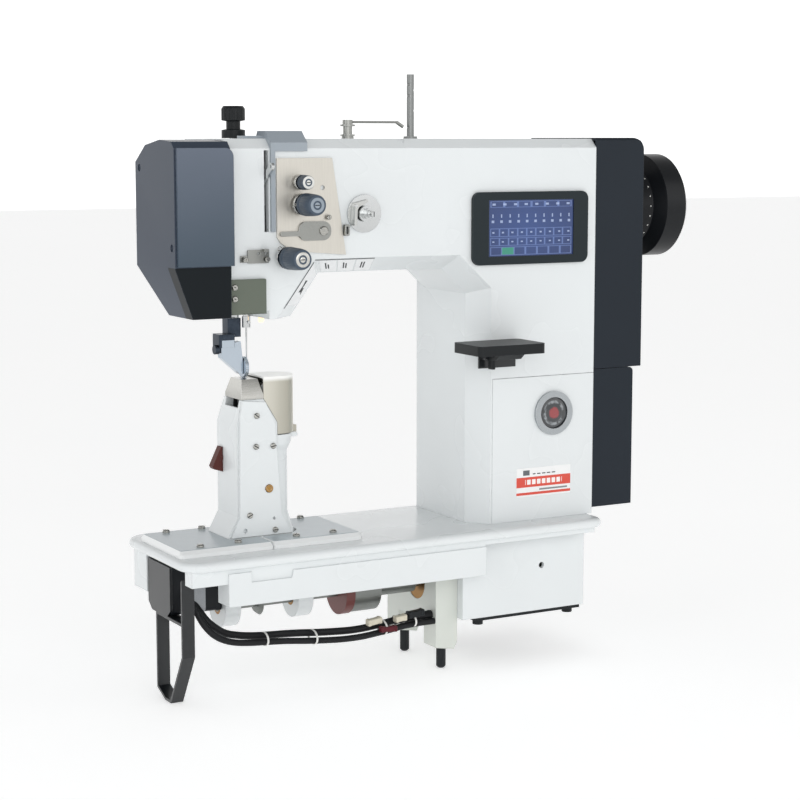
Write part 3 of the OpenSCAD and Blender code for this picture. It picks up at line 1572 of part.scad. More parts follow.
module machine_screws() {
    color("silver") {
        // base plates
        for (p = [[-78, 42], [-36, 43], [-76, -46], [-32, -44], [36, -44], [80, -44], [84, 44]])
            translate([needle_x + p[0], p[1], plate_z + 0.05])
                rotate([0, 0, 20 + p[0]])
                    screw(4, 3);
        // post cover
        for (s = cover_screws)
            translate([s[0], -post_front - 3.55, s[1]])
                rotate([90, s[0] * 7, 0])
                    screw(3.2, 2.2);
        // needle guard
        for (z = [head_z + 14, head_z + 26])
            translate([head_x0 + 6, arm_y0 - 4.05, z])
                rotate([90, 30, 0])
                    screw(3.4, 2);
        // thread retainer and head bracket
        for (p = [[67, 46], [73, 60], [1, 18], [-24, 18]])
            translate([needle_x + p[0], panel_y - 2.25 - (p[0] < 5 ? 1 : 0), arm_under + p[1]])
                rotate([90, p[0] * 11, 0])
                    screw(p[0] == 67 ? 5 : 2.8, 2);
    }
}

bed_casting();
arm_casting();
column_panel();
post_housing();
post_cover();
base_plates();
throat_plate();
hook_cap();
post_lever();
machine_screws();
face_cover();
face_lid();
motor_cover();
belt_cover();
drive_motor();
sight_ring();
sight_glass();
screen_bezel();
screen();
tension_plate();
tension_posts();
thread_guides();
thread_pole();
needle_guard();
lamp();
take_up_guard();
winder_plate();
bushings();
gearbox_casting();
support_rods();
oil_box();
oil_box_base();
feed_motor();
motor_guard();
feed_belt();
timing_belt();
harness();
bobbin_case();
reverse_bracket();
handwheel();
main_shaft();
lower_shaft();
clutch_disc();
hook();
bobbin();
feed_wheel();
feed_pulley();
needle_bar();
needle();
take_up_lever();
presser_bar();
roller_bracket();
roller();
pre_tension_knob();
main_tension_knob();
lower_tension_knob();
winder_spindle();
winder_latch();
pressure_knob();
reverse_lever();
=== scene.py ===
# %% [markdown]
# # The looks of a post-bed leather sewing machine
#
# The machine comes packed as a frame of measured parts. Here it gets its paint, plastic and steel,
# and the small pieces that a buyer would see: springs, caps, dots, a label, tags and cables.
# Every surface is worked out with numpy, and every finish is a few nodes written as sums.

import json
import math

import bmesh
import bpy
import numpy as np
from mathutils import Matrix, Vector


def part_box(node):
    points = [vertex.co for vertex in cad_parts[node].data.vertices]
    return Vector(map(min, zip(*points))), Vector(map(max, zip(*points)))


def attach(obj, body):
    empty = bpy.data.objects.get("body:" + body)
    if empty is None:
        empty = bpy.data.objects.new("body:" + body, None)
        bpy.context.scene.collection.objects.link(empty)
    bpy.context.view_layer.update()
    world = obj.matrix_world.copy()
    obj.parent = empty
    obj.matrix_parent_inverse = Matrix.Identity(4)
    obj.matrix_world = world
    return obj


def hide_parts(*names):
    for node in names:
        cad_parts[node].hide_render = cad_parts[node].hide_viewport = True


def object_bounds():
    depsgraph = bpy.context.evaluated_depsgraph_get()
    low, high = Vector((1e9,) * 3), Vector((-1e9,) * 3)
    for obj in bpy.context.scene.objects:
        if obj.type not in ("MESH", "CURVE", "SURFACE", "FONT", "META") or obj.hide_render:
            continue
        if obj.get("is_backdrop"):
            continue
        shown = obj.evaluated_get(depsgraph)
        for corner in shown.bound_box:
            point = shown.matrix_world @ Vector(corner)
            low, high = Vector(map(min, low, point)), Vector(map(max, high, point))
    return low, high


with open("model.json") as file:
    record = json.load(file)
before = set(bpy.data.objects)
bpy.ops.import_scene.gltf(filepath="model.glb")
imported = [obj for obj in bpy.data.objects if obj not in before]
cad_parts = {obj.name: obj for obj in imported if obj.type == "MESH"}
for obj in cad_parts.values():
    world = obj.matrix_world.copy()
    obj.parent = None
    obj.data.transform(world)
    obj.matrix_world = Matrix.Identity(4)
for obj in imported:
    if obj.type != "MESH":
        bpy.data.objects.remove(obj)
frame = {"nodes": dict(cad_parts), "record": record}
cad_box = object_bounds()
nodes = frame["nodes"]
scene = bpy.context.scene
MM = 0.001
print("parts in the frame:", len(nodes))

# %% [markdown]
# ## The camera
# A long lens from the front left, a little above the bed, keeps the column upright and shows the
# left cover, the post and the screen at once. An azimuth and an elevation say where it looks from.

# %% Place the camera
CAMERA_AZIMUTH = math.radians(-29.16)
CAMERA_ELEVATION = math.radians(7.64)
back_way = Vector((
    math.sin(CAMERA_AZIMUTH) * math.cos(CAMERA_ELEVATION),
    -math.cos(CAMERA_AZIMUTH) * math.cos(CAMERA_ELEVATION),
    math.sin(CAMERA_ELEVATION),
))
lens_data = bpy.data.cameras.new("camera")
lens_data.sensor_width = 36.0
lens_data.lens = 87.58
camera = bpy.data.objects.new("camera", lens_data)
scene.collection.objects.link(camera)
camera.location = (-1.01038, -1.88114, 0.43965)
camera.rotation_mode = "QUATERNION"
camera.rotation_quaternion = (-back_way).to_track_quat("-Z", "Y")
scene.camera = camera
print("camera to the middle of the bed:", round(camera.location.length, 3), "m")

# %% [markdown]
# ## Writing a finish as a sum
# A node tree is hard to read back. `Field` wraps one socket and turns `+`, `*` and `<` on it into
# Math nodes, so a roughness reads as `0.3 + noise * 0.05`. `Finish.node` makes any other node.


# %% Sums on sockets
class Field:
    """A value over a surface. Each of a + b, a - b, a * b, a / b, a % b, a ** b, a < b, a > b and
    abs(a) adds one Math node."""

    def __init__(self, finish, socket):
        self.finish = finish
        self.socket = socket

    def _math(self, operation, first, second=None):
        return self.finish.node("ShaderNodeMath", {"operation": operation}, {0: first, 1: second})

    def __add__(self, other):
        return self._math("ADD", self, other)

    def __sub__(self, other):
        return self._math("SUBTRACT", self, other)

    def __rsub__(self, other):
        return self._math("SUBTRACT", other, self)

    def __mul__(self, other):
        return self._math("MULTIPLY", self, other)

    def __truediv__(self, other):
        return self._math("DIVIDE", self, other)

    def __lt__(self, other):
        return self._math("LESS_THAN", self, other)

    def __gt__(self, other):
        return self._math("GREATER_THAN", self, other)

    def __mod__(self, other):
        return self._math("FLOORED_MODULO", self, other)

    def __pow__(self, other):
        return self._math("POWER", self, other)

    def __abs__(self):
        return self._math("ABSOLUTE", self)

    def either(self, other):
        """The larger of two masks: 1 where either one is."""
        return self._math("MAXIMUM", self, other)

    def clamp(self):
        """The value held between 0 and 1."""
        return self._math("MINIMUM", self._math("MAXIMUM", self, 0.0), 1.0)

    __radd__ = __add__


# %% [markdown]
# ## One class for all finishes
# Each material starts from the same few facts: where a point is on the object, some noise, and how
# close the nearest edge is. The last comes from a Bevel node: its normal leaves the true normal
# only near an edge, so their dot product is a mask for wear, and the normal itself rounds the edge.


# %% The finish class
def linear(code):
    """The linear colour of a six-digit colour code: each part to the power that a screen undoes."""
    parts = np.array([int(code[k : k + 2], 16) for k in (0, 2, 4)]) / 255.0
    low = parts / 12.92
    high = ((parts + 0.055) / 1.055) ** 2.4
    return tuple(float(x) for x in np.where(parts <= 0.04045, low, high)) + (1.0,)


class Finish:
    """One material and the few calls that build it."""

    def __init__(self, name):
        self.material = bpy.data.materials.new(name)
        self.material.use_nodes = True
        self.tree = self.material.node_tree
        self.shader = self.tree.nodes["Principled BSDF"]

    def put(self, socket, value):
        """Links a Field to a socket, or sets a plain value on it."""
        if isinstance(value, Field):
            self.tree.links.new(value.socket, socket)
        elif value is not None:
            socket.default_value = value

    def node(self, kind, settings=None, inputs=None, out=0):
        """Adds a node of that kind, sets its settings, then its sockets; gives one output."""
        made = self.tree.nodes.new(kind)
        for key, value in (settings or {}).items():
            setattr(made, key, value)
        for key, value in (inputs or {}).items():
            self.put(made.inputs[key], value)
        return Field(self, made.outputs[out])

    def shade(self, **sockets):
        """Sets the shader's own sockets; an underscore in a name stands for a space."""
        for key, value in sockets.items():
            self.put(self.shader.inputs[key.replace("_", " ")], value)
        return self

    def place(self):
        """Where a point is on the object, in metres."""
        return self.node("ShaderNodeTexCoord", out=3)

    def axis(self, letter):
        """One coordinate of the place, in metres."""
        return self.node("ShaderNodeSeparateXYZ", None, {0: self.place()}, "XYZ".index(letter))

    def stretched(self, scale):
        """The place with each axis scaled, for grain that runs one way."""
        return self.node("ShaderNodeMapping", None, {0: self.place(), 3: scale})

    def noise(self, scale, detail=3.0, vector=None):
        """Cloudy noise from 0 to 1 with that many features to the metre."""
        settings = {"noise_dimensions": "3D"}
        sockets = {0: vector or self.place(), 2: scale, 3: detail, 4: 0.55}
        return self.node("ShaderNodeTexNoise", settings, sockets)

    def mix(self, factor, first, second):
        """The first colour where the factor is 0, the second where it is 1."""
        sockets = {0: factor, 6: first, 7: second}
        return self.node("ShaderNodeMix", {"data_type": "RGBA"}, sockets, 2)

    def soft(self, radius):
        """The normal of the surface as if its edges had that radius."""
        return self.node("ShaderNodeBevel", {"samples": 4}, {0: radius})

    def edge(self, radius):
        """1 on an edge of that radius, and 0 on open faces: one less the dot of two normals."""
        true_way = self.node("ShaderNodeNewGeometry", out=1)
        sockets = {0: self.soft(radius), 1: true_way}
        dot = self.node("ShaderNodeVectorMath", {"operation": "DOT_PRODUCT"}, sockets, 1)
        return ((1.0 - dot) * 7.0 - 0.2).clamp()

    def bump(self, height, distance, strength=1.0, radius=0.0):
        """A relief of that height in metres, over edges rounded to the radius."""
        sockets = {"Strength": strength, "Distance": distance, "Height": height}
        if radius:
            sockets["Normal"] = self.soft(radius)
        return self.node("ShaderNodeBump", None, sockets)


print("colour of a white paint:", [round(x, 3) for x in linear("e9eced")])

# %% [markdown]
# ## Families of finishes
# Sprayed enamel, moulded plastic and worked steel differ in a few numbers only: how the tone
# drifts, how fine the relief is, and what shows where an edge is rubbed. One function per family
# keeps them alike where they should be alike.


# %% Paint, plastic and steel
def painted(name, colour, rough=0.3, peel=2.2e-5, rub="8d9498", rubbed=0.25, radius=0.0009):
    """Enamel: tone = colour * (1 + drift), orange-peel relief, edges rubbed towards the primer."""
    made = Finish(name)
    drift = made.noise(9.0, 2.0)
    speck = made.noise(380.0, 2.0)
    worn = (made.edge(radius * 1.5) * ((made.noise(160.0) - 0.46) * 5.0).clamp() * rubbed).clamp()
    darker = tuple(x * 0.93 for x in linear(colour)[:3]) + (1.0,)
    base = made.mix(drift, linear(colour), darker)
    made.shade(
        Base_Color=made.mix(worn, base, linear(rub)),
        Roughness=rough + (drift - 0.5) * 0.08 + worn * 0.2,
        Normal=made.bump(speck, peel, 1.0, radius),
        Coat_Weight=0.25,
        Coat_Roughness=0.12,
        Specular_IOR_Level=0.45,
    )
    return made


def moulded(
    name, colour, rough=0.42, grain=900.0, relief=3.0e-5, radius=0.0007, rub="6f757b", gloss=0.22
):
    """Plastic: a fine spark-eroded grain, a broad change of gloss, and edges gone a little pale."""
    made = Finish(name)
    drift = made.noise(12.0, 2.0)
    fine = made.noise(grain, 2.0)
    worn = (made.edge(radius * 1.4) * made.noise(90.0) * 0.28).clamp()
    tone = tuple(x * 0.86 for x in linear(colour)[:3]) + (1.0,)
    base = made.mix(drift, linear(colour), tone)
    made.shade(
        Base_Color=made.mix(worn, base, linear(rub)),
        Roughness=rough + (drift - 0.5) * 0.12 + (fine - 0.5) * 0.06,
        Normal=made.bump(fine, relief, 1.0, radius),
        Specular_IOR_Level=gloss,
    )
    return made


def steel(name, colour, rough=0.25, run=(1.0, 1.0, 1.0), grain=1400.0, relief=6.0e-6, radius=0.0005):
    """Worked metal: fine lines run one way, the gloss follows them, and edges are polished bright."""
    made = Finish(name)
    lines = made.noise(grain, 2.0, made.stretched(run))
    drift = made.noise(25.0, 2.0)
    bright = made.edge(radius * 1.5)
    dark = tuple(x * 0.72 for x in linear(colour)[:3]) + (1.0,)
    base = made.mix((lines * 0.6 + drift * 0.4).clamp(), dark, linear(colour))
    made.shade(
        Base_Color=made.mix(bright * 0.5, base, linear("f1f2f2")),
        Metallic=1.0,
        Roughness=rough + (lines - 0.5) * 0.16 + (drift - 0.5) * 0.1,
        Normal=made.bump(lines, relief, 1.0, radius),
    )
    return made


print("three families ready")

# %% [markdown]
# ## Finishes that follow the place
# Some parts are not one even colour: the plates are white at the edge and painted grey on top as
# painted shade, the left cover grows darker upwards and is painted near black on its lower front
# slope as painted shade, and the motor shows bare metal in the middle. A mask made from the place
# picks between two colours. Heights and lengths here are in metres.


# %% Finishes that change with the place
ACROSS_X = (0.04, 1.0, 1.0)
ACROSS_Z = (1.0, 1.0, 0.03)
TOP_SLACK = 0.0004
SLOPE_DEPTH = 0.0185
CLAMP_FOOT_Z = 0.2288
THUMB_SCREW_X = -0.1795
CAP_EDGE = 0.006
STACK_X = (-0.2270, -0.2060)
SHEETS_PER_METRE = 900.0


def plate_paint():
    """The two base plates: white edges, and a top painted a noisy blue-grey as painted shade for a face
    turned up.
    """
    made = painted("plate_enamel_with_painted_top_shade", "eceeee", 0.3, rub="ffffff")
    top = made.axis("Z") > (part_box("base_plates")[1].z - TOP_SLACK)
    # painted shade: the top face is coloured blue-grey to stand for the greyer look of faces turned up
    painted_top_shade = made.mix(made.noise(60.0), linear("9fabb1"), linear("adb7bc"))
    return made.shade(Base_Color=made.mix(top, linear("eceeee"), painted_top_shade))


def face_cover_paint():
    """The left cover: slate, darker towards the top, and painted near black on the lower front slope as
    painted shade for a face turned down.
    """
    made = painted("slate_cover_with_painted_shade", "4b5265", 0.3, 1.4e-5, "8b929c", 0.35)
    low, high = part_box("face_cover")
    rise = (made.axis("Z") - low.z) / (high.z - low.z)
    cloud = (made.noise(7.0, 2.0) - 0.5) * 0.35
    shade = made.mix((rise + cloud).clamp(), linear("414956"), linear("3b434f"))
    under_lid = made.axis("Z") < (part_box("face_lid")[0].z - 0.001)
    # painted shade: the lower front slope below the lid is coloured near black, standing for a face turned
    # down and away from the light
    foot = (made.axis("Y") < (low.y + SLOPE_DEPTH)) * under_lid
    worn = (made.edge(0.0012) * 0.3).clamp()
    base = made.mix(worn, made.mix(foot, shade, linear("12181c")), linear("8b929c"))
    return made.shade(Base_Color=base, Specular_IOR_Level=0.12, Coat_Weight=0.05)


def lid_paint():
    """The lid on the left cover: mid grey at the top, darker and bluer towards the bottom."""
    made = painted("lid_paint", "5d6774", 0.24, 1.2e-5, "98a0a8", 0.35)
    low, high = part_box("face_lid")
    rise = (made.axis("Z") - low.z) / (high.z - low.z)
    cloud = (made.noise(6.0, 2.0) - 0.5) * 0.5
    shade = made.mix((rise + cloud).clamp(), linear("3f4d5a"), linear("5c6573"))
    return made.shade(Base_Color=shade, Specular_IOR_Level=0.3)


def foot_finish():
    """The roller's bracket: bright blued steel on the arm, dark on the clamp and the thumb screw."""
    made = steel("foot_steel", "b9c3cd", 0.2)
    clamp = (made.axis("Z") > CLAMP_FOOT_Z).either(made.axis("X") < THUMB_SCREW_X)
    dark = made.mix(made.noise(200.0), linear("2b323b"), linear("474f5a"))
    shown = made.mix(clamp, linear("b9c3cd"), dark)
    return made.shade(Base_Color=shown, Roughness=clamp * 0.14 + 0.2)


def cap_finish():
    """The hook cap: champagne nickel with upright streaks of painted reflection in its colour, and a bright
    top.
    """
    made = steel("cap_nickel", "c6c2b2", 0.32, ACROSS_Z)
    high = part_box("hook_cap")[1]
    # painted reflection: upright pale and dark streaks on the round wall stand for the light it catches
    painted_reflection_bands = made.noise(34.0, 1.0, made.stretched((1.0, 1.0, 0.02)))
    wall = made.mix(((painted_reflection_bands - 0.3) * 2.2).clamp(), linear("8f8c7e"), linear("dedbd0"))
    top = ((made.axis("Z") - (high.z - CAP_EDGE)) * 250.0).clamp()
    return made.shade(Base_Color=made.mix(top, wall, linear("f4f4f1")), Metallic=0.75 - top * 0.6)


def motor_finish():
    """The stepper motor: dark end bells, and a bare stack of laminations between them."""
    made = moulded("stepper_black", "191c20", 0.4)
    across = made.axis("X")
    stack = (across > STACK_X[0]) * (across < STACK_X[1])
    sheets = (across * SHEETS_PER_METRE) % 1.0
    bare = made.mix(sheets, linear("6f7378"), linear("b5b8bb"))
    return made.shade(Base_Color=made.mix(stack, linear("191c20"), bare), Metallic=stack * 0.8)


print("placed finishes written")

# %% [markdown]
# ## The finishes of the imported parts
# Each part carries a slot name from its record. The table below gives every slot its finish.

# %% Give every slot its finish
finishes = {
    "white_paint": painted("white_enamel", "e4e8e9", 0.27),
    "plate_paint": plate_paint(),
    "throat_steel": steel("throat_plate_steel", "c9c8c3", 0.26, ACROSS_X),
    "nickel": steel("nickel_cap", "c6c2b2", 0.3, ACROSS_Z),
    "red_plastic": moulded("lever_red", "5a2f2a", 0.45),
    "screw_steel": steel("screw_steel", "b9b8b2", 0.24),
    "slate_paint": face_cover_paint(),
    "navy_plastic": moulded("motor_cover_plastic", "1c242d", 0.42),
    "motor_metal": steel("motor_casting", "5d6468", 0.5),
    "ring_metal": steel("window_ring", "b7bcbf", 0.28),
    "bezel_plastic": moulded("screen_surround", "20292d", 0.34),
    "satin_steel": steel("satin_steel", "cfd0cd", 0.28),
    "chrome": steel("chrome", "d9dbdb", 0.12, relief=2.0e-6),
    "smoke_plastic": moulded("needle_guard_plastic", "6a7166", 0.22, 500.0, 1.2e-5),
    "hammer_paint": painted("hammered_cover", "9ba4ac", 0.3, 9.0e-5, "d5d8da", 0.4),
    "bronze": steel("bearing_bronze", "a07a4a", 0.35),
    "black_rod": moulded("black_rod", "202326", 0.35, rub="777b7e"),
    "black_plastic": moulded("black_plastic", "1c1f21", 0.4),
    "black_paint": painted("black_satin", "15181b", 0.3, 1.4e-5, "85898c", 0.5),
    "belt_rubber": moulded("belt_rubber", "1d1d1e", 0.7, 700.0, 5.0e-5),
    "cable_rubber": moulded("cable_jacket", "1b1c1e", 0.5, 420.0, 6.0e-5),
    "wheel_plastic": moulded("handwheel_plastic", "17191c", 0.3),
    "shaft_steel": steel("shaft_steel", "8f9394", 0.3),
    "clutch_metal": steel("clutch_metal", "8c8f8c", 0.42),
    "clutch_red": painted("clutch_red", "6a3532", 0.5),
    "knob_metal": moulded("knob_metal", "4c5866", 0.33),
    "white_plastic": moulded("white_plastic", "e6e6e2", 0.4, rub="f4f4f2"),
    "foot_steel": foot_finish(),
}
slot_rows = {m["slot"]: m for m in frame["record"]["materials"]}
print("slots in the record:", len(slot_rows), "finishes:", len(finishes))


# %% [markdown]
# ## The oil window, the lamp and the screen
# Three parts give or pass light. The window is a clear lens over a red core, the lamp glows warm,
# and the screen draws its own picture: a blue field with a pale grid, one lit cell and a bright
# heading, all from the two coordinates of its face.


# %% Glass, lamp and screen
def clear_glass(name, colour, rough=0.03):
    """A clear lens with a faint tint."""
    made = Finish(name)
    smear = made.noise(120.0, 2.0)
    made.shade(
        Base_Color=linear(colour),
        Roughness=rough + smear * 0.06,
        Transmission_Weight=0.9,
        IOR=1.46,
        Coat_Weight=0.5,
    )
    return made


def glowing(name, colour, strength):
    """A lamp's lens: pale when it is off, and warm light on top."""
    made = Finish(name)
    cloud = made.noise(300.0, 2.0)
    made.shade(
        Base_Color=linear(colour),
        Roughness=0.3 + cloud * 0.1,
        Emission_Color=linear(colour),
        Emission_Strength=strength,
    )
    return made


def touch_screen():
    """A lit panel. u and v run from 0 to 1 over the face, and every line is a band in one of them."""
    made = Finish("touch_screen")
    low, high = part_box("screen")
    u = (made.axis("X") - low.x) / (high.x - low.x)
    v = (made.axis("Z") - low.z) / (high.z - low.z)

    def band(value, middle, half):
        """1 within half of the middle."""
        return abs(value - middle) < half

    def cells(value, count, share):
        """1 on that share of each of count equal cells."""
        return abs((value * count) % 1.0 - 0.5) < share * 0.5

    def boxed(u0, u1, v0, v1, columns):
        """Key outlines: 1 close to a cell's edge, inside one block of the face."""
        cell_u = ((u - u0) / (u1 - u0) * columns) % 1.0
        edge = (abs(cell_u - 0.5) > 0.42).either(abs((v - v0) / (v1 - v0) - 0.5) > 0.42)
        return edge * band(u, (u0 + u1) / 2, (u1 - u0) / 2) * band(v, (v0 + v1) / 2, (v1 - v0) / 2)

    glow = (abs(u - 0.45) * 0.9 + abs(v - 0.55) * 0.6).clamp()
    field = made.mix(glow, linear("2a4174"), linear("1c2c55"))
    lines = boxed(0.02, 0.98, 0.87, 0.98, 6.0)
    for v0, v1, columns in ((0.02, 0.17, 7.0), (0.19, 0.33, 9.0), (0.35, 0.5, 9.0)):
        lines = lines.either(boxed(0.02, 0.98, v0, v1, columns))
    field = made.mix(lines * 0.5, field, linear("6d83b8"))
    ticks = cells(u, 9.0, 0.22) * band(v, 0.26, 0.012).either(band(v, 0.425, 0.014))
    ticks = ticks.either(cells(u, 10.0, 0.3) * band(v, 0.62, 0.022))
    ticks = ticks.either(cells(u, 10.0, 0.14) * band(v, 0.72, 0.03))
    ticks = ticks.either(cells(u, 8.0, 0.3) * band(v, 0.925, 0.018))
    field = made.mix(ticks * 0.6, field, linear("a9b8d8"))
    lit = band(u, 0.225, 0.068) * band(v, 0.095, 0.062)
    field = made.mix(lit * 0.8, field, linear("2f8a6c"))
    made.shade(
        Base_Color=field,
        Emission_Color=field,
        Emission_Strength=0.3,
        Roughness=0.18 + made.noise(60.0) * 0.05,
        Coat_Weight=0.3,
    )
    return made


finishes["sight_glass"] = clear_glass("oil_window", "eef1f2")
finishes["lamp_lens"] = glowing("lamp_lens", "ffd9a0", 1.3)
finishes["display"] = touch_screen()
print("finishes:", len(finishes), "missing:", sorted(set(slot_rows) - set(finishes)))

# %% [markdown]
# ## Smooth shading without moving a point
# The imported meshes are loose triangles, so a round part shows its flats. A small geometry group
# joins the corners and marks only the sharp edges as crisp: the shape stays as it was measured.


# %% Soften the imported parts
def shading_group():
    """Joins doubles, shades every face smooth, and keeps edges over the crease angle crisp."""
    made = bpy.data.node_groups.new("joined_and_smooth", "GeometryNodeTree")
    made.interface.new_socket("Geometry", in_out="INPUT", socket_type="NodeSocketGeometry")
    made.interface.new_socket("Geometry", in_out="OUTPUT", socket_type="NodeSocketGeometry")
    kinds = ["NodeGroupInput", "GeometryNodeRemoveAttribute", "GeometryNodeMergeByDistance",
             "GeometryNodeSetShadeSmooth", "GeometryNodeSetShadeSmooth", "NodeGroupOutput"]
    chain = [made.nodes.new(kind) for kind in kinds]
    for before, after in zip(chain, chain[1:]):
        made.links.new(before.outputs[0], after.inputs[0])
    chain[1].inputs["Name"].default_value = "custom_normal"
    chain[2].inputs["Distance"].default_value = 2.0e-6
    angle = made.nodes.new("GeometryNodeInputMeshEdgeAngle")
    over = made.nodes.new("FunctionNodeCompare")
    over.operation = "GREATER_THAN"
    over.inputs[1].default_value = math.radians(28.0)
    made.links.new(angle.outputs[0], over.inputs[0])
    chain[4].domain = "EDGE"
    chain[4].inputs["Shade Smooth"].default_value = False
    made.links.new(over.outputs[0], chain[4].inputs["Selection"])
    return made


smooth_group = shading_group()
own_finish = {
    "face_lid": lid_paint(),
    "feed_motor": motor_finish(),
    "tension_plate": steel("tension_panel", "dcd8cf", 0.42, ACROSS_Z, 900.0, 3.0e-6),
    "gearbox_casting": painted("gearbox_enamel", "d5d9d2", 0.34, 5.0e-5),
    "hook_cap": cap_finish(),
    "thread_pole": steel("pole_steel", "8b8d8c", 0.34),
    "thread_guides": steel("guide_steel", "a2a39f", 0.3),
}
for node_name, part in nodes.items():
    part.modifiers.new("smooth", "NODES").node_group = smooth_group
    for held in part.material_slots:
        held.material = own_finish.get(node_name, finishes[held.material.name]).material
print("softened parts:", len(nodes))

# %% [markdown]
# ## Tools for the small pieces
# A knob, a wire, a label and a screw are all one idea: rings of points joined by quads. `skin`
# joins the rings, and the other functions work the rings out as whole arrays from a formula.


# %% Rings, turned pieces, wires and plates
LETTERS = {"x": 0, "y": 1, "z": 2}


def skin(name, rings, finish, body, looped=False):
    """Quads join step k of ring r to step k + 1 and ring r + 1; end rings are closed by flat faces."""
    groups = rings if rings.ndim == 4 else rings[None]
    copies, count, around = groups.shape[:3]
    index = np.arange(copies * count * around).reshape(copies, count, around)
    near = index if looped else index[:, :-1]
    far = np.roll(index, -1, 1) if looped else index[:, 1:]
    quads = np.stack([near, np.roll(near, -1, 2), np.roll(far, -1, 2), far], -1).reshape(-1, 4)
    faces = quads.tolist()
    if not looped:
        faces += index[:, 0, ::-1].tolist() + index[:, -1].tolist()
    mesh = bpy.data.meshes.new(name)
    mesh.from_pydata((groups.reshape(-1, 3) * MM).tolist(), [], faces)
    work = bmesh.new()
    work.from_mesh(mesh)
    bmesh.ops.recalc_face_normals(work, faces=work.faces)
    work.to_mesh(mesh)
    work.free()
    made = bpy.data.objects.new(name, mesh)
    scene.collection.objects.link(made)
    made.data.materials.append(finish.material)
    made.modifiers.new("smooth", "NODES").node_group = smooth_group
    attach(made, body)
    return made


def turned(profile, centre, axis, steps=72, flutes=0, depth=0.0, rows=()):
    """Rings of a lathe piece: centre + along * axis + radius * (cos t, sin t), in millimetres.
    On the fluted rows the radius loses depth * (1 + cos(flutes * t)) / 2."""
    spin = LETTERS[axis]
    others = [k for k in range(3) if k != spin]
    shape = np.array(profile, float)
    t = np.linspace(0.0, 2.0 * np.pi, steps, endpoint=False)
    fluted = np.isin(np.arange(len(shape)), rows)[:, None]
    radius = shape[:, :1] - fluted * depth * (1.0 + np.cos(flutes * t)[None]) / 2.0
    rings = np.zeros((len(shape), steps, 3))
    rings[..., spin] = shape[:, 1:]
    rings[..., others[0]] = radius * np.cos(t)
    rings[..., others[1]] = radius * np.sin(t)
    return rings + np.array(centre, float)


def wire(path, radius, sides=12, guide=(0.0, 0.0, 1.0)):
    """Rings round a path: across = tangent x guide, up = across x tangent, r * (cos t, sin t)."""
    line = np.array(path, float)
    ahead = np.gradient(line, axis=0)
    ahead /= np.linalg.norm(ahead, axis=1, keepdims=True)
    across = np.cross(ahead, np.array(guide, float))
    across /= np.linalg.norm(across, axis=1, keepdims=True)
    up = np.cross(across, ahead)
    t = np.linspace(0.0, 2.0 * np.pi, sides, endpoint=False)[None, :, None]
    size = np.broadcast_to(np.array(radius, float), (len(line),))[:, None, None]
    return line[:, None] + size * (np.cos(t) * across[:, None] + np.sin(t) * up[:, None])


def smooth_path(points, per=8):
    """Catmull-Rom: each step is a cubic whose slope at a point is half the way between neighbours."""
    p = np.array(points, float)
    q = np.vstack([2 * p[0] - p[1], p, 2 * p[-1] - p[-2]])
    t = np.linspace(0.0, 1.0, per, endpoint=False)[None, :, None]
    a, b, c, d = q[:-3, None], q[1:-2, None], q[2:-1, None], q[3:, None]
    cubic = 2 * b + (c - a) * t + (2 * a - 5 * b + 4 * c - d) * t**2 + (3 * b - a - 3 * c + d) * t**3
    return np.vstack([0.5 * cubic.reshape(-1, 3), p[-1:]])


def coil(centre, axis, rise, radii, turns, steps=20):
    """A spring's line: the angle grows with the way along, and the radius runs between two values."""
    u = np.linspace(0.0, 1.0, int(turns * steps) + 1)
    spin = LETTERS[axis]
    others = [k for k in range(3) if k != spin]
    line = np.zeros((len(u), 3))
    radius = radii[0] + (radii[1] - radii[0]) * u
    line[:, spin] = rise * u
    line[:, others[0]] = radius * np.cos(2 * np.pi * turns * u)
    line[:, others[1]] = radius * np.sin(2 * np.pi * turns * u)
    return line + np.array(centre, float)


def plate(low, high, corner, rows, normal="y", steps=6):
    """A rounded rectangle through rows of (inset, depth): corner centre + (corner - inset) * way."""
    spin = LETTERS[normal]
    others = [k for k in range(3) if k != spin]
    quarter = np.linspace(0.0, np.pi / 2, steps)
    t = (quarter[None] + np.arange(4)[:, None] * np.pi / 2).ravel()
    near = np.array([high[0], low[0], low[0], high[0]]) + np.array([-1, 1, 1, -1]) * corner
    side = np.array([high[1], high[1], low[1], low[1]]) + np.array([-1, -1, 1, 1]) * corner
    centres = np.repeat(np.stack([near, side], -1), steps, 0)
    ways = np.stack([np.cos(t), np.sin(t)], -1)
    rings = np.zeros((len(rows), len(t), 3))
    for row, (inset, depth) in enumerate(rows):
        rings[row][:, others] = centres + (corner - inset) * ways
        rings[row][:, spin] = depth
    return rings


def middle(name):
    """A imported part's middle, half size, low corner and high corner, in millimetres."""
    low, high = (np.array(corner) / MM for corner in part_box(name))
    return (low + high) / 2, (high - low) / 2, low, high


print("rings of a test knob:", turned([(1, 0), (2, 1)], (0, 0, 0), "y").shape)

# %% [markdown]
# ## Tension knobs
# Each nut is a barrel with a finely fluted skirt. The middle one ends in a raised ring round a
# slotted screw, the low one in a bright cap, and the small one in a white cap. They are lathe
# work, so one profile per knob says it all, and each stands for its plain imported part.


# %% Turn the tension knobs
knob_bright = steel("knob_cap", "d4d3ce", 0.22)


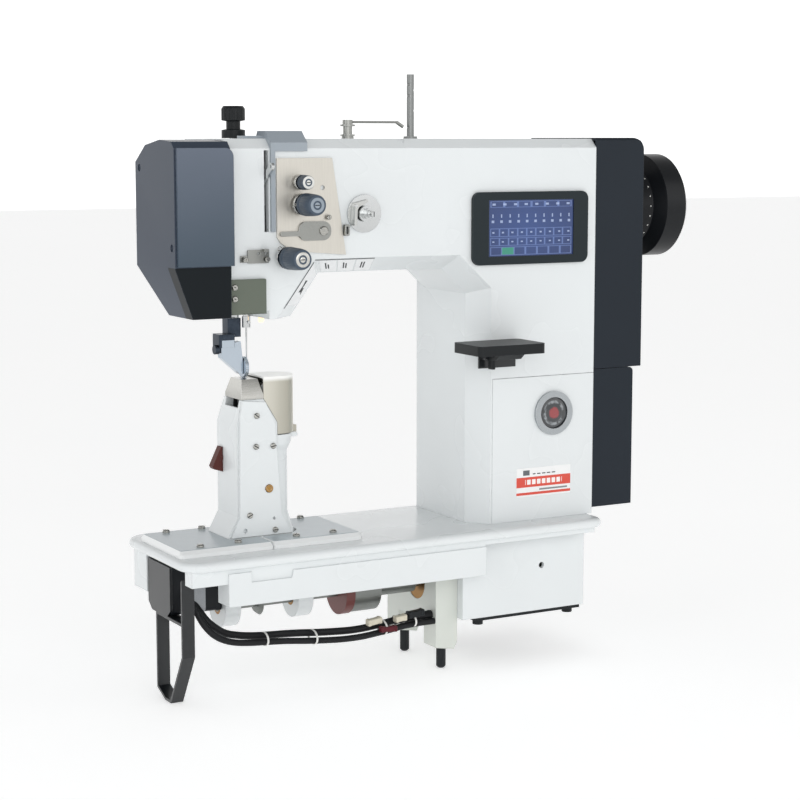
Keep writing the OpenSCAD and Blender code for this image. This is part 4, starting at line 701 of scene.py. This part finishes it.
def tension_knob(part, cap_paint, cap_share):
    """Barrel: (radius, along y) from the skirt at the back to the rounded front, then a cap."""
    centre, half, low, high = middle(part)
    r = half[0]
    back, front = high[1], low[1]
    deep = back - front
    barrel = [
        (2.3, back), (r - 0.8, back), (r, back - 0.8), (r, back - deep * 0.16),
        (r - 0.7, back - deep * 0.2), (r - 0.7, back - deep * 0.24),
        (r - 0.2, back - deep * 0.27), (r - 0.5, back - deep * 0.62),
        (r * 0.9, front + deep * 0.1), (r * 0.84, front + 0.8), (r * 0.76, front + 0.3), (2.3, front + 0.3),
    ]
    place = (centre[0], 0.0, centre[2])
    rings = turned(barrel, place, "y", 144, 36, 0.5, (2, 3, 6, 7))
    made = skin(part + "_barrel", rings, finishes["knob_metal"], part)
    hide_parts(part)
    c = r * cap_share
    cap = [
        (c, front + 0.6), (c, front + 0.2), (c * 0.94, front), (c * 0.62, front),
        (c * 0.58, front + 0.5), (c * 0.42, front + 0.5), (c * 0.36, front + 0.25), (0.5, front + 0.25),
    ]
    skin(part + "_cap", turned(cap, place, "y", 48), cap_paint, part)
    # painted shade: the dark bar in the cap's middle stands for the shade in a screw slot, which is not cut
    slot_shade_low = (centre[0] - c * 0.34, centre[2] - 0.45)
    slot_shade_high = (centre[0] + c * 0.34, centre[2] + 0.45)
    rows = [(0.0, front + 0.28), (0.0, front + 0.12)]
    skin(part + "_slot", plate(slot_shade_low, slot_shade_high, 0.3, rows), finishes["black_plastic"], part)


knob_ring = moulded("knob_ring", "98a3ae", 0.3)
tension_knob("main_tension_knob", knob_ring, 0.66)
tension_knob("lower_tension_knob", knob_bright, 0.66)
tension_knob("pre_tension_knob", finishes["white_plastic"], 0.84)
print("knobs turned: 3")

# %% [markdown]
# ## Springs and thread wires
# Behind each nut a conical spring presses the discs, and a thin take-up spring curls out to the
# left. A spring is a wire carried along a helix.

# %% Wind the springs
thin_wire = steel("spring_wire", "a9a7a0", 0.25)
for part, big in (("main_tension_knob", 8.2), ("lower_tension_knob", 8.2), ("pre_tension_knob", 5.4)):
    centre, _, _, high = middle(part)
    line = coil((centre[0], high[1] + 0.3, centre[2]), "y", 3.0, (big * 0.72, big), 2.5)
    skin(part + "_spring", wire(line, 0.42, 8, (0.0, 1.0, 0.0)), thin_wire, "root")

main_mid, _, _, main_high = middle("main_tension_knob")
curl = [
    (-4.0, 0, -9.5), (-8.5, -0.8, -9.5), (-12.5, -1.6, -6.5), (-14.8, -2.0, -2.0),
    (-13.8, -2.2, 2.0), (-11.6, -2.2, 1.0), (-12.4, -2.0, -1.5), (-16.0, -1.8, -2.0),
]
base = np.array([main_mid[0], main_high[1] + 2.0, main_mid[2]])
curl_line = smooth_path(np.array(curl) + base)
skin("take_up_spring", wire(curl_line, 0.4, 8, (0.0, 1.0, 0.0)), thin_wire, "root")
low_mid, _, _, low_high = middle("lower_tension_knob")
finger = [(-6.0, 0.0, 9.5), (-9.0, -0.6, 12.0), (-11.5, -1.2, 11.5), (-12.2, -1.2, 8.5), (-9.5, -1.0, 8.0)]
base = np.array([low_mid[0], low_high[1] + 2.0, low_mid[2]])
finger_line = smooth_path(np.array(finger) + base)
skin("lower_spring_finger", wire(finger_line, 0.4, 8, (0.0, 1.0, 0.0)), thin_wire, "root")
print("springs wound: 5")

# %% [markdown]
# ## The oil window
# A domed lens in a bright ring. Oil and the sump show dark behind it, with a red float in the
# middle, so the finish depends on the distance from the window's axis. A broken pale ring on the
# lens is a painted highlight.


# %% Press the lens
def window_finish():
    """Dark at the rim, red inside 6 mm of the axis, and a broken pale ring 12.5 mm out that is a painted
    highlight: the distance is the root of dx^2 + dz^2.
    """
    made = Finish("window_lens")
    centre = middle("sight_glass")[0] * MM
    dx = made.axis("X") - float(centre[0])
    dz = made.axis("Z") - float(centre[2])
    far = (dx * dx + dz * dz) ** 0.5
    ripple = made.noise(140.0)
    core = ((0.0075 - far) * 500.0 + (ripple - 0.5) * 1.5).clamp()
    # painted highlight: a broken pale ring on the dome stands for light reflected by the glass
    band = ((0.0022 - abs(far - 0.0125)) * 900.0).clamp() * ((ripple - 0.44) * 6.0).clamp()
    base = made.mix(ripple, linear("16191c"), linear("33383d"))
    base = made.mix(core * 0.85, base, linear("9c2f33"))
    base = made.mix(band * 0.6, base, linear("aab0b4"))
    made.shade(Base_Color=base, Roughness=0.08 + ripple * 0.05, Coat_Weight=1.0, Coat_Roughness=0.03)
    return made


glass_mid, glass_half, glass_low, glass_high = middle("sight_glass")
rim = glass_half[0]
arc = np.linspace(0.0, 1.5, 12)
DOME_RISE = 1.6
dome = [(rim, glass_high[1] - 1.0)]
dome += [(rim * math.cos(a), glass_low[1] + 0.6 - DOME_RISE * math.sin(a)) for a in arc]
lens_rings = turned(dome, (glass_mid[0], 0.0, glass_mid[2]), "y", 64)
lens = skin("oil_window_lens", lens_rings, window_finish(), "root")
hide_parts("sight_glass")
print("lens rim radius:", round(rim, 2), "mm")

# %% [markdown]
# ## The column label
# A printed label sits on the column's panel: a red band with plain white bars, some grey bars and
# a thin red foot. Nothing on it is lettering.


# %% Print the label
def label_finish(low, high):
    """Bands in u and v, each from 0 to 1 over the label: red band, white bars, grey bars, foot."""
    made = Finish("printed_label")
    u = (made.axis("X") - low[0] * MM) / ((high[0] - low[0]) * MM)
    v = (made.axis("Z") - low[1] * MM) / ((high[1] - low[1]) * MM)

    def patch(u0, u1, v0, v1):
        """1 inside one rectangle of the label."""
        across = abs(u - (u0 + u1) / 2) < (u1 - u0) / 2
        return across * (abs(v - (v0 + v1) / 2) < (v1 - v0) / 2)

    base = made.mix(made.noise(40.0), linear("f4f4f3"), linear("e9eaea"))
    base = made.mix(patch(0.0, 1.0, 0.33, 0.68), base, linear("d8432f"))
    base = made.mix(patch(0.0, 1.0, 0.06, 0.15), base, linear("d8432f"))
    dashes = abs((u * 11.0) % 1.0 - 0.5) < 0.36
    base = made.mix(patch(0.16, 0.84, 0.42, 0.59) * dashes, base, linear("f6efec"))
    base = made.mix(patch(0.42, 0.94, 0.2, 0.26), base, linear("7d8084"))
    base = made.mix(patch(0.3, 0.72, 0.76, 0.8) * dashes, base, linear("3e4145"))
    base = made.mix(patch(0.12, 0.24, 0.74, 0.92), base, linear("585c60"))
    made.shade(Base_Color=base, Roughness=0.3 + made.noise(300.0) * 0.05, Coat_Weight=0.4)
    return made


panel_low = middle("column_panel")[2]
LABEL_LOW, LABEL_HIGH = (158.0, 38.0), (231.0, 71.0)
front = panel_low[1]
label_rows = [(0.0, front + 0.02), (0.0, front - 0.12), (0.12, front - 0.2)]
label_rings = plate(LABEL_LOW, LABEL_HIGH, 1.2, label_rows)
skin("column_label", label_rings, label_finish(LABEL_LOW, LABEL_HIGH), "root")
print("label:", LABEL_HIGH[0] - LABEL_LOW[0], "by", LABEL_HIGH[1] - LABEL_LOW[1], "mm")

# %% [markdown]
# ## Tags under the arm
# Four white tags sit on the slopes under the arm, three in a row and one on the corner. A slope is
# a patch with four corners, and a tag is a small outline on it in two shares s and t.


# %% Stick the tags under the arm
def on_patch(corners, outline, lift):
    """A point at (s, t) of a four-cornered patch: bilinear in s and t, raised along the normal."""
    a, b, c, d = (np.array(corner, float) for corner in corners)
    st = np.array(outline, float)
    s, t = st[:, :1], st[:, 1:]
    flat = a * (1 - s) * (1 - t) + b * s * (1 - t) + c * s * t + d * (1 - s) * t
    normal = np.cross(b - a, d - a)
    normal /= np.linalg.norm(normal)
    if normal[1] > 0:
        normal = -normal
    return flat + normal * lift


def sticker(name, corners, outline, lift, finish):
    """A flat piece 0.3 mm thick on a patch."""
    rings = np.stack([on_patch(corners, outline, lift - 0.3), on_patch(corners, outline, lift)])
    return skin(name, rings, finish, "root")


def block(s0, s1, t0, t1):
    """The four corners of a rectangle on a patch."""
    return [(s0, t0), (s1, t0), (s1, t1), (s0, t1)]


UNDER = [(-72.6, -21.0, 298.0), (19.9, -21.0, 298.0), (19.9, -47.0, 314.0), (-89.6, -47.0, 314.0)]
GUSSET = [(-109.8, -21.0, 248.0), (-72.6, -21.0, 298.0), (-89.6, -47.0, 314.0), (-138.7, -47.0, 248.0)]
tag_white = moulded("tag_film", "f6f7f8", 0.35, 300.0, 8.0e-6, 0.0002, "ffffff")
tag_ink = moulded("tag_ink", "2a2d31", 0.4, 300.0, 4.0e-6, 0.0002)
FILM, EDGE, INK = 0.35, 0.4, 0.5
TAG_W = 0.19
for k, s0 in enumerate((0.04, 0.25, 0.46)):
    sticker("tag_%d" % k, UNDER, block(s0, s0 + TAG_W, 0.08, 0.9), FILM, tag_white)
    sticker("tag_mark_%d_a" % k, UNDER, block(s0 + 0.06, s0 + 0.075, 0.3, 0.72), INK, tag_ink)
    sticker("tag_mark_%d_b" % k, UNDER, block(s0 + 0.09, s0 + 0.105, 0.3, 0.6 + 0.06 * k), INK, tag_ink)
sticker("tag_edge", UNDER, block(0.0, 0.66, 0.94, 0.97), EDGE, tag_ink)
sticker("tag_gusset", GUSSET, block(0.3, 0.94, 0.1, 0.88), FILM, tag_white)
BLOT = [
    (0.5, 0.35), (0.62, 0.42), (0.6, 0.52), (0.74, 0.5),
    (0.72, 0.66), (0.64, 0.6), (0.52, 0.62), (0.54, 0.48),
]
sticker("tag_gusset_mark", GUSSET, BLOT, INK, tag_ink)
sticker("tag_gusset_edge", GUSSET, block(0.24, 0.97, 0.92, 0.95), EDGE, tag_ink)
print("tags: 4")

# %% [markdown]
# ## Screw slots
# The screws are packed with their slots cut. A thin dark bar of painted shade lies in each, where
# the slot's recess falls in shade: half length and half width follow the head, and the turn is the
# screw's own.

# %% Fill the slots
needle_x = float(middle("needle")[0][0])
PLATE_SCREWS = ((-78, 42), (-36, 43), (-76, -46), (-32, -44), (36, -44), (80, -44), (84, 44))
COVER_SCREWS = ((-0.8, 149.0), (-1.9, 116.0), (18.2, 115.5), (-9.8, 42.6), (19.8, 24.5))
GUARD_SCREW_Z = (276.0, 288.0)
PLATE_HEAD_Z, COVER_HEAD_Y, GUARD_HEAD_X, GUARD_HEAD_Y = 21.85, -27.45, -184.1, -52.7
SLOTS = [(needle_x + x, y, PLATE_HEAD_Z, 4.0, 20 + x, "z") for x, y in PLATE_SCREWS]
SLOTS += [(needle_x + x, COVER_HEAD_Y, z, 3.2, (needle_x + x) * -7, "y") for x, z in COVER_SCREWS]
SLOTS += [(GUARD_HEAD_X, GUARD_HEAD_Y, z, 3.4, 30.0, "y") for z in GUARD_SCREW_Z]


def painted_slot_shade(rows):
    """Each bar of painted shade: a rectangle of half sizes (0.97 r, 0.13 r), turned by its angle, 0.35 mm
    thick.
    """
    made = np.zeros((len(rows), 2, 4, 3))
    for k, (x, y, z, r, degrees, facing) in enumerate(rows):
        a = math.radians(degrees)
        u = np.array([1, 1, -1, -1]) * 0.97 * r
        v = np.array([1, -1, -1, 1]) * 0.13 * r
        first = u * math.cos(a) - v * math.sin(a)
        second = u * math.sin(a) + v * math.cos(a)
        for layer, depth in enumerate((-0.2, 0.15)):
            if facing == "z":
                made[k, layer] = np.stack([x + first, y + second, z + depth + 0 * u], -1)
            else:
                made[k, layer] = np.stack([x + first, y - depth + 0 * u, z + second], -1)
    return made


# painted shade: the dark bars stand for the shade inside the screw slots
skin("screw_slot_painted_shade", painted_slot_shade(SLOTS), finishes["black_plastic"], "root")
print("slots:", len(SLOTS))

# %% [markdown]
# ## Handwheel marks
# White dots run round the wheel's inner cone so that the operator can read its turn. They are
# small domes set on the cone, all in one mesh: one set of rings, copied round the axis.

# %% Set the dots on the wheel
wheel_mid = middle("handwheel")[0]
dot_count = 24
dot_profile = np.array([(0.95, -0.3), (0.95, 0.12), (0.6, 0.3), (0.2, 0.36)])
t = np.linspace(0.0, 2 * np.pi, 10, endpoint=False)
turn = np.linspace(0.0, 2 * np.pi, dot_count, endpoint=False)
cone_x, cone_r = 357.0, 44.5
local = np.zeros((len(dot_profile), 10, 3))
local[..., 0] = dot_profile[:, :1] * np.cos(t)
local[..., 1] = dot_profile[:, :1] * np.sin(t)
local[..., 2] = dot_profile[:, 1:]
dots = np.zeros((dot_count,) + local.shape)
radial = cone_r + local[None, ..., 2]
c, s = np.cos(turn)[:, None, None], np.sin(turn)[:, None, None]
dots[..., 0] = cone_x + local[None, ..., 0] + local[None, ..., 2] * -0.2
dots[..., 1] = wheel_mid[1] + radial * c - local[None, ..., 1] * s
dots[..., 2] = wheel_mid[2] + radial * s + local[None, ..., 1] * c
skin("handwheel_dots", dots, finishes["white_plastic"], "handwheel")
print("dots:", dot_count)

# %% [markdown]
# ## Cables under the bed
# The harness leaves the feed motor, hangs in a slack curve and ends in the gearbox. Its route is
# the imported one, run through a smooth curve and a little further in at both ends. Two ivory plugs,
# a dark red one and a black one sit along its right half, and white ties hold the bundle.

# %% Run the cables
GEAR_X = middle("gearbox_casting")[2][0]
MAIN_ROUTE = [
    (-222, -16, -48), (-221, -22, -49), (-218, -28, -55), (-213, -32, -63), (-205, -35, -71),
    (-193, -36, -79), (-178, -37, -83), (-162, -37, -85.5), (-144, -37, -87), (-125, -37, -88),
    (-105, -37, -89.5), (-85, -37, -91.5),
    (-65, -37, -93), (-48, -37, -94), (-32, -37, -94), (-16, -37, -93), (0, -36, -91.5), (15, -35, -90),
    (30, -34, -89.5), (45, -34, -89.5), (GEAR_X, -34, -89.5),
]
BRANCH_ROUTE = [
    (-228, -16, -38), (-228, -23, -39), (-227, -30, -45), (-224, -36, -55), (-219, -41, -66),
    (-211, -45, -76),
    (-200, -47, -83), (-186, -47.5, -87.5), (-168, -47.5, -90), (-148, -47.5, -91.5), (-126, -47, -93.5),
    (-102, -46.5, -96.5), (-78, -46, -99), (-56, -46, -100.5), (-34, -46, -100.5), (-14, -45.5, -99),
    (4, -44.5, -97.5), (20, -43, -96), (40, -41.5, -95.5), (GEAR_X, -41, -95.5),
]
main_line = smooth_path(MAIN_ROUTE, 6)
branch_line = smooth_path(BRANCH_ROUTE, 6)
main_cable = skin("main_cable", wire(main_line, 4.0, 16), finishes["cable_rubber"], "root")
branch_cable = skin("branch_cable", wire(branch_line, 3.5, 16), finishes["cable_rubber"], "root")
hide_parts("harness")

# a ribbed sleeve near the gearbox
SLEEVE_FROM_X, SLEEVE_R, RIB_DEPTH, RIB_STEP = 12.0, 5.0, 0.35, 2.1
sleeve_line = main_line[main_line[:, 0] > SLEEVE_FROM_X]
ribs = SLEEVE_R + RIB_DEPTH * np.cos(np.arange(len(sleeve_line)) * RIB_STEP)
skin("cable_sleeve", wire(sleeve_line, ribs, 16), finishes["cable_rubber"], "root")


def plug(name, x0, x1, y, z, half, tilt, finish):
    """A plug body along x: rounded square rings of (inset, x), raised by tilt along its length."""
    rows = [(0.8, x0), (0.0, x0 + 0.8), (0.0, x0 + 3.0), (0.5, x0 + 3.2), (0.5, x1 - 3.2), (0.0, x1 - 3.0),
            (0.0, x1 - 0.8), (0.8, x1)]
    rings = plate((y - half, z - half * 0.8), (y + half, z + half * 0.8), 1.3, rows, "x")
    rings[..., 2] += (rings[..., 0] - x0) * tilt
    return skin(name, rings, finish, "root")


ivory = moulded("plug_ivory", "d9d3c0", 0.45, rub="f0ece0")
dark_red = moulded("plug_red", "5b1f28", 0.4, rub="8f5a60")
plug("plug_ivory_left", -26.0, -9.0, -43.0, -87.0, 4.6, 0.12, ivory)
plug("plug_red_left", -14.0, 6.0, -50.5, -94.0, 4.2, -0.05, dark_red)
plug("plug_ivory_right", 7.0, 21.0, -45.5, -86.5, 4.4, 0.1, ivory)
plug("plug_black", 24.0, 44.0, -44.0, -84.0, 4.8, 0.08, finishes["black_plastic"])
TIES = [
    (-150.0, -42.0, -89.2, 9.9), (-92.0, -41.8, -94.4, 10.6),
    (-6.0, -41.0, -94.6, 11.2), (33.0, -38.6, -92.0, 9.4),
]
TIE_SQUASH = 0.72
tie_rows = [(0.0, -1.1), (0.5, -1.1), (0.7, -0.8), (0.7, 0.8), (0.5, 1.1), (0.0, 1.1)]
for k, (x, y, z, r) in enumerate(TIES):
    rings = turned([(r + out, x + along) for out, along in tie_rows], (0.0, y, z), "x", 40)
    rings[..., 2] = z + (rings[..., 2] - z) * TIE_SQUASH
    skin("cable_tie_%d" % k, rings, finishes["white_plastic"], "root", looped=True)
print("cables:", len(main_line), "and", len(branch_line), "points")

# %% [markdown]
# ## A brass plug in the post
# The post's front cover has one brass adjuster with a slot.

# %% Turn the brass plug
post_front = middle("post_cover")[2][1]
brass = steel("brass_plug", "b48a4c", 0.3)
plug_profile = [
    (4.4, post_front + 0.4), (4.4, post_front - 0.9), (3.9, post_front - 1.3),
    (2.4, post_front - 1.3), (2.2, post_front - 0.7), (0.5, post_front - 0.7),
]
skin("brass_adjuster", turned(plug_profile, (-135.0, 0.0, 69.8), "y", 40), brass, "root")
print("brass plug set")

# %% [markdown]
# ## Floor and light
# A plain pale floor, a bright room, and large soft lamps in front: the fronts come out white and
# the tops a shade greyer, which is how a white machine reads on a white ground.

# %% Floor and lamps
FLOOR_Z = cad_box[0].z - 0.0005
floor_mesh = bpy.data.meshes.new("floor")
reach = 14.0
floor_mesh.from_pydata(
    [(-reach, -reach, FLOOR_Z), (reach, -reach, FLOOR_Z), (reach, reach, FLOOR_Z), (-reach, reach, FLOOR_Z)],
    [],
    [(0, 1, 2, 3)],
)
floor = bpy.data.objects.new("floor", floor_mesh)
scene.collection.objects.link(floor)
floor_finish = Finish("floor_paper")
floor_finish.shade(
    Base_Color=floor_finish.mix(floor_finish.noise(3.0), linear("f7f7f7"), linear("f4f5f5")),
    Roughness=0.9,
    Emission_Color=linear("ffffff"),
    Emission_Strength=0.42,
)
floor.data.materials.append(floor_finish.material)
floor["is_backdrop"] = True

world = bpy.data.worlds.new("room")
scene.world = world
world.use_nodes = True
sky = world.node_tree
height = sky.nodes.new("ShaderNodeSeparateXYZ")
sky.links.new(sky.nodes.new("ShaderNodeTexCoord").outputs[0], height.inputs[0])
fade = sky.nodes.new("ShaderNodeMapRange")
sky.links.new(height.outputs[2], fade.inputs[0])
SKY_FROM, SKY_TO, SKY_BRIGHT, SKY_DIM = 0.12, 0.75, 1.28, 0.3
for socket, value in zip(fade.inputs[1:5], (SKY_FROM, SKY_TO, SKY_BRIGHT, SKY_DIM)):
    socket.default_value = value
sky.links.new(fade.outputs[0], sky.nodes["Background"].inputs[1])
sky.nodes["Background"].inputs[0].default_value = (1.0, 1.0, 1.0, 1.0)
scene.view_settings.view_transform = "Standard"


def lamp(name, place, target, size, power, tint=(1.0, 1.0, 1.0)):
    """A square soft lamp at a place, turned to look at the target."""
    data = bpy.data.lights.new(name, "AREA")
    data.shape = "RECTANGLE"
    data.size, data.size_y = size
    data.energy = power
    data.color = tint
    made = bpy.data.objects.new(name, data)
    scene.collection.objects.link(made)
    made.location = place
    made.rotation_mode = "QUATERNION"
    made.rotation_quaternion = (Vector(target) - Vector(place)).to_track_quat("-Z", "Y")
    return made


lamp("front_lamp", (-0.6, -2.6, 1.1), (0.0, 0.0, 0.2), (2.2, 1.4), 13.0)
lamp("left_lamp", (-2.4, -0.7, 1.0), (0.0, 0.0, 0.2), (1.2, 1.6), 5.0, (0.97, 0.98, 1.0))
lamp("right_lamp", (2.0, -1.6, 1.4), (0.2, 0.0, 0.2), (1.0, 1.4), 3.0)
print("floor at", round(FLOOR_Z, 4))

# %% Print how far the scene grew
new_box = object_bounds()
before, after = [*cad_box[0], *cad_box[1]], [*new_box[0], *new_box[1]]
print("grew by mm:", [round((b - a) / MM, 2) for a, b in zip(before, after)])
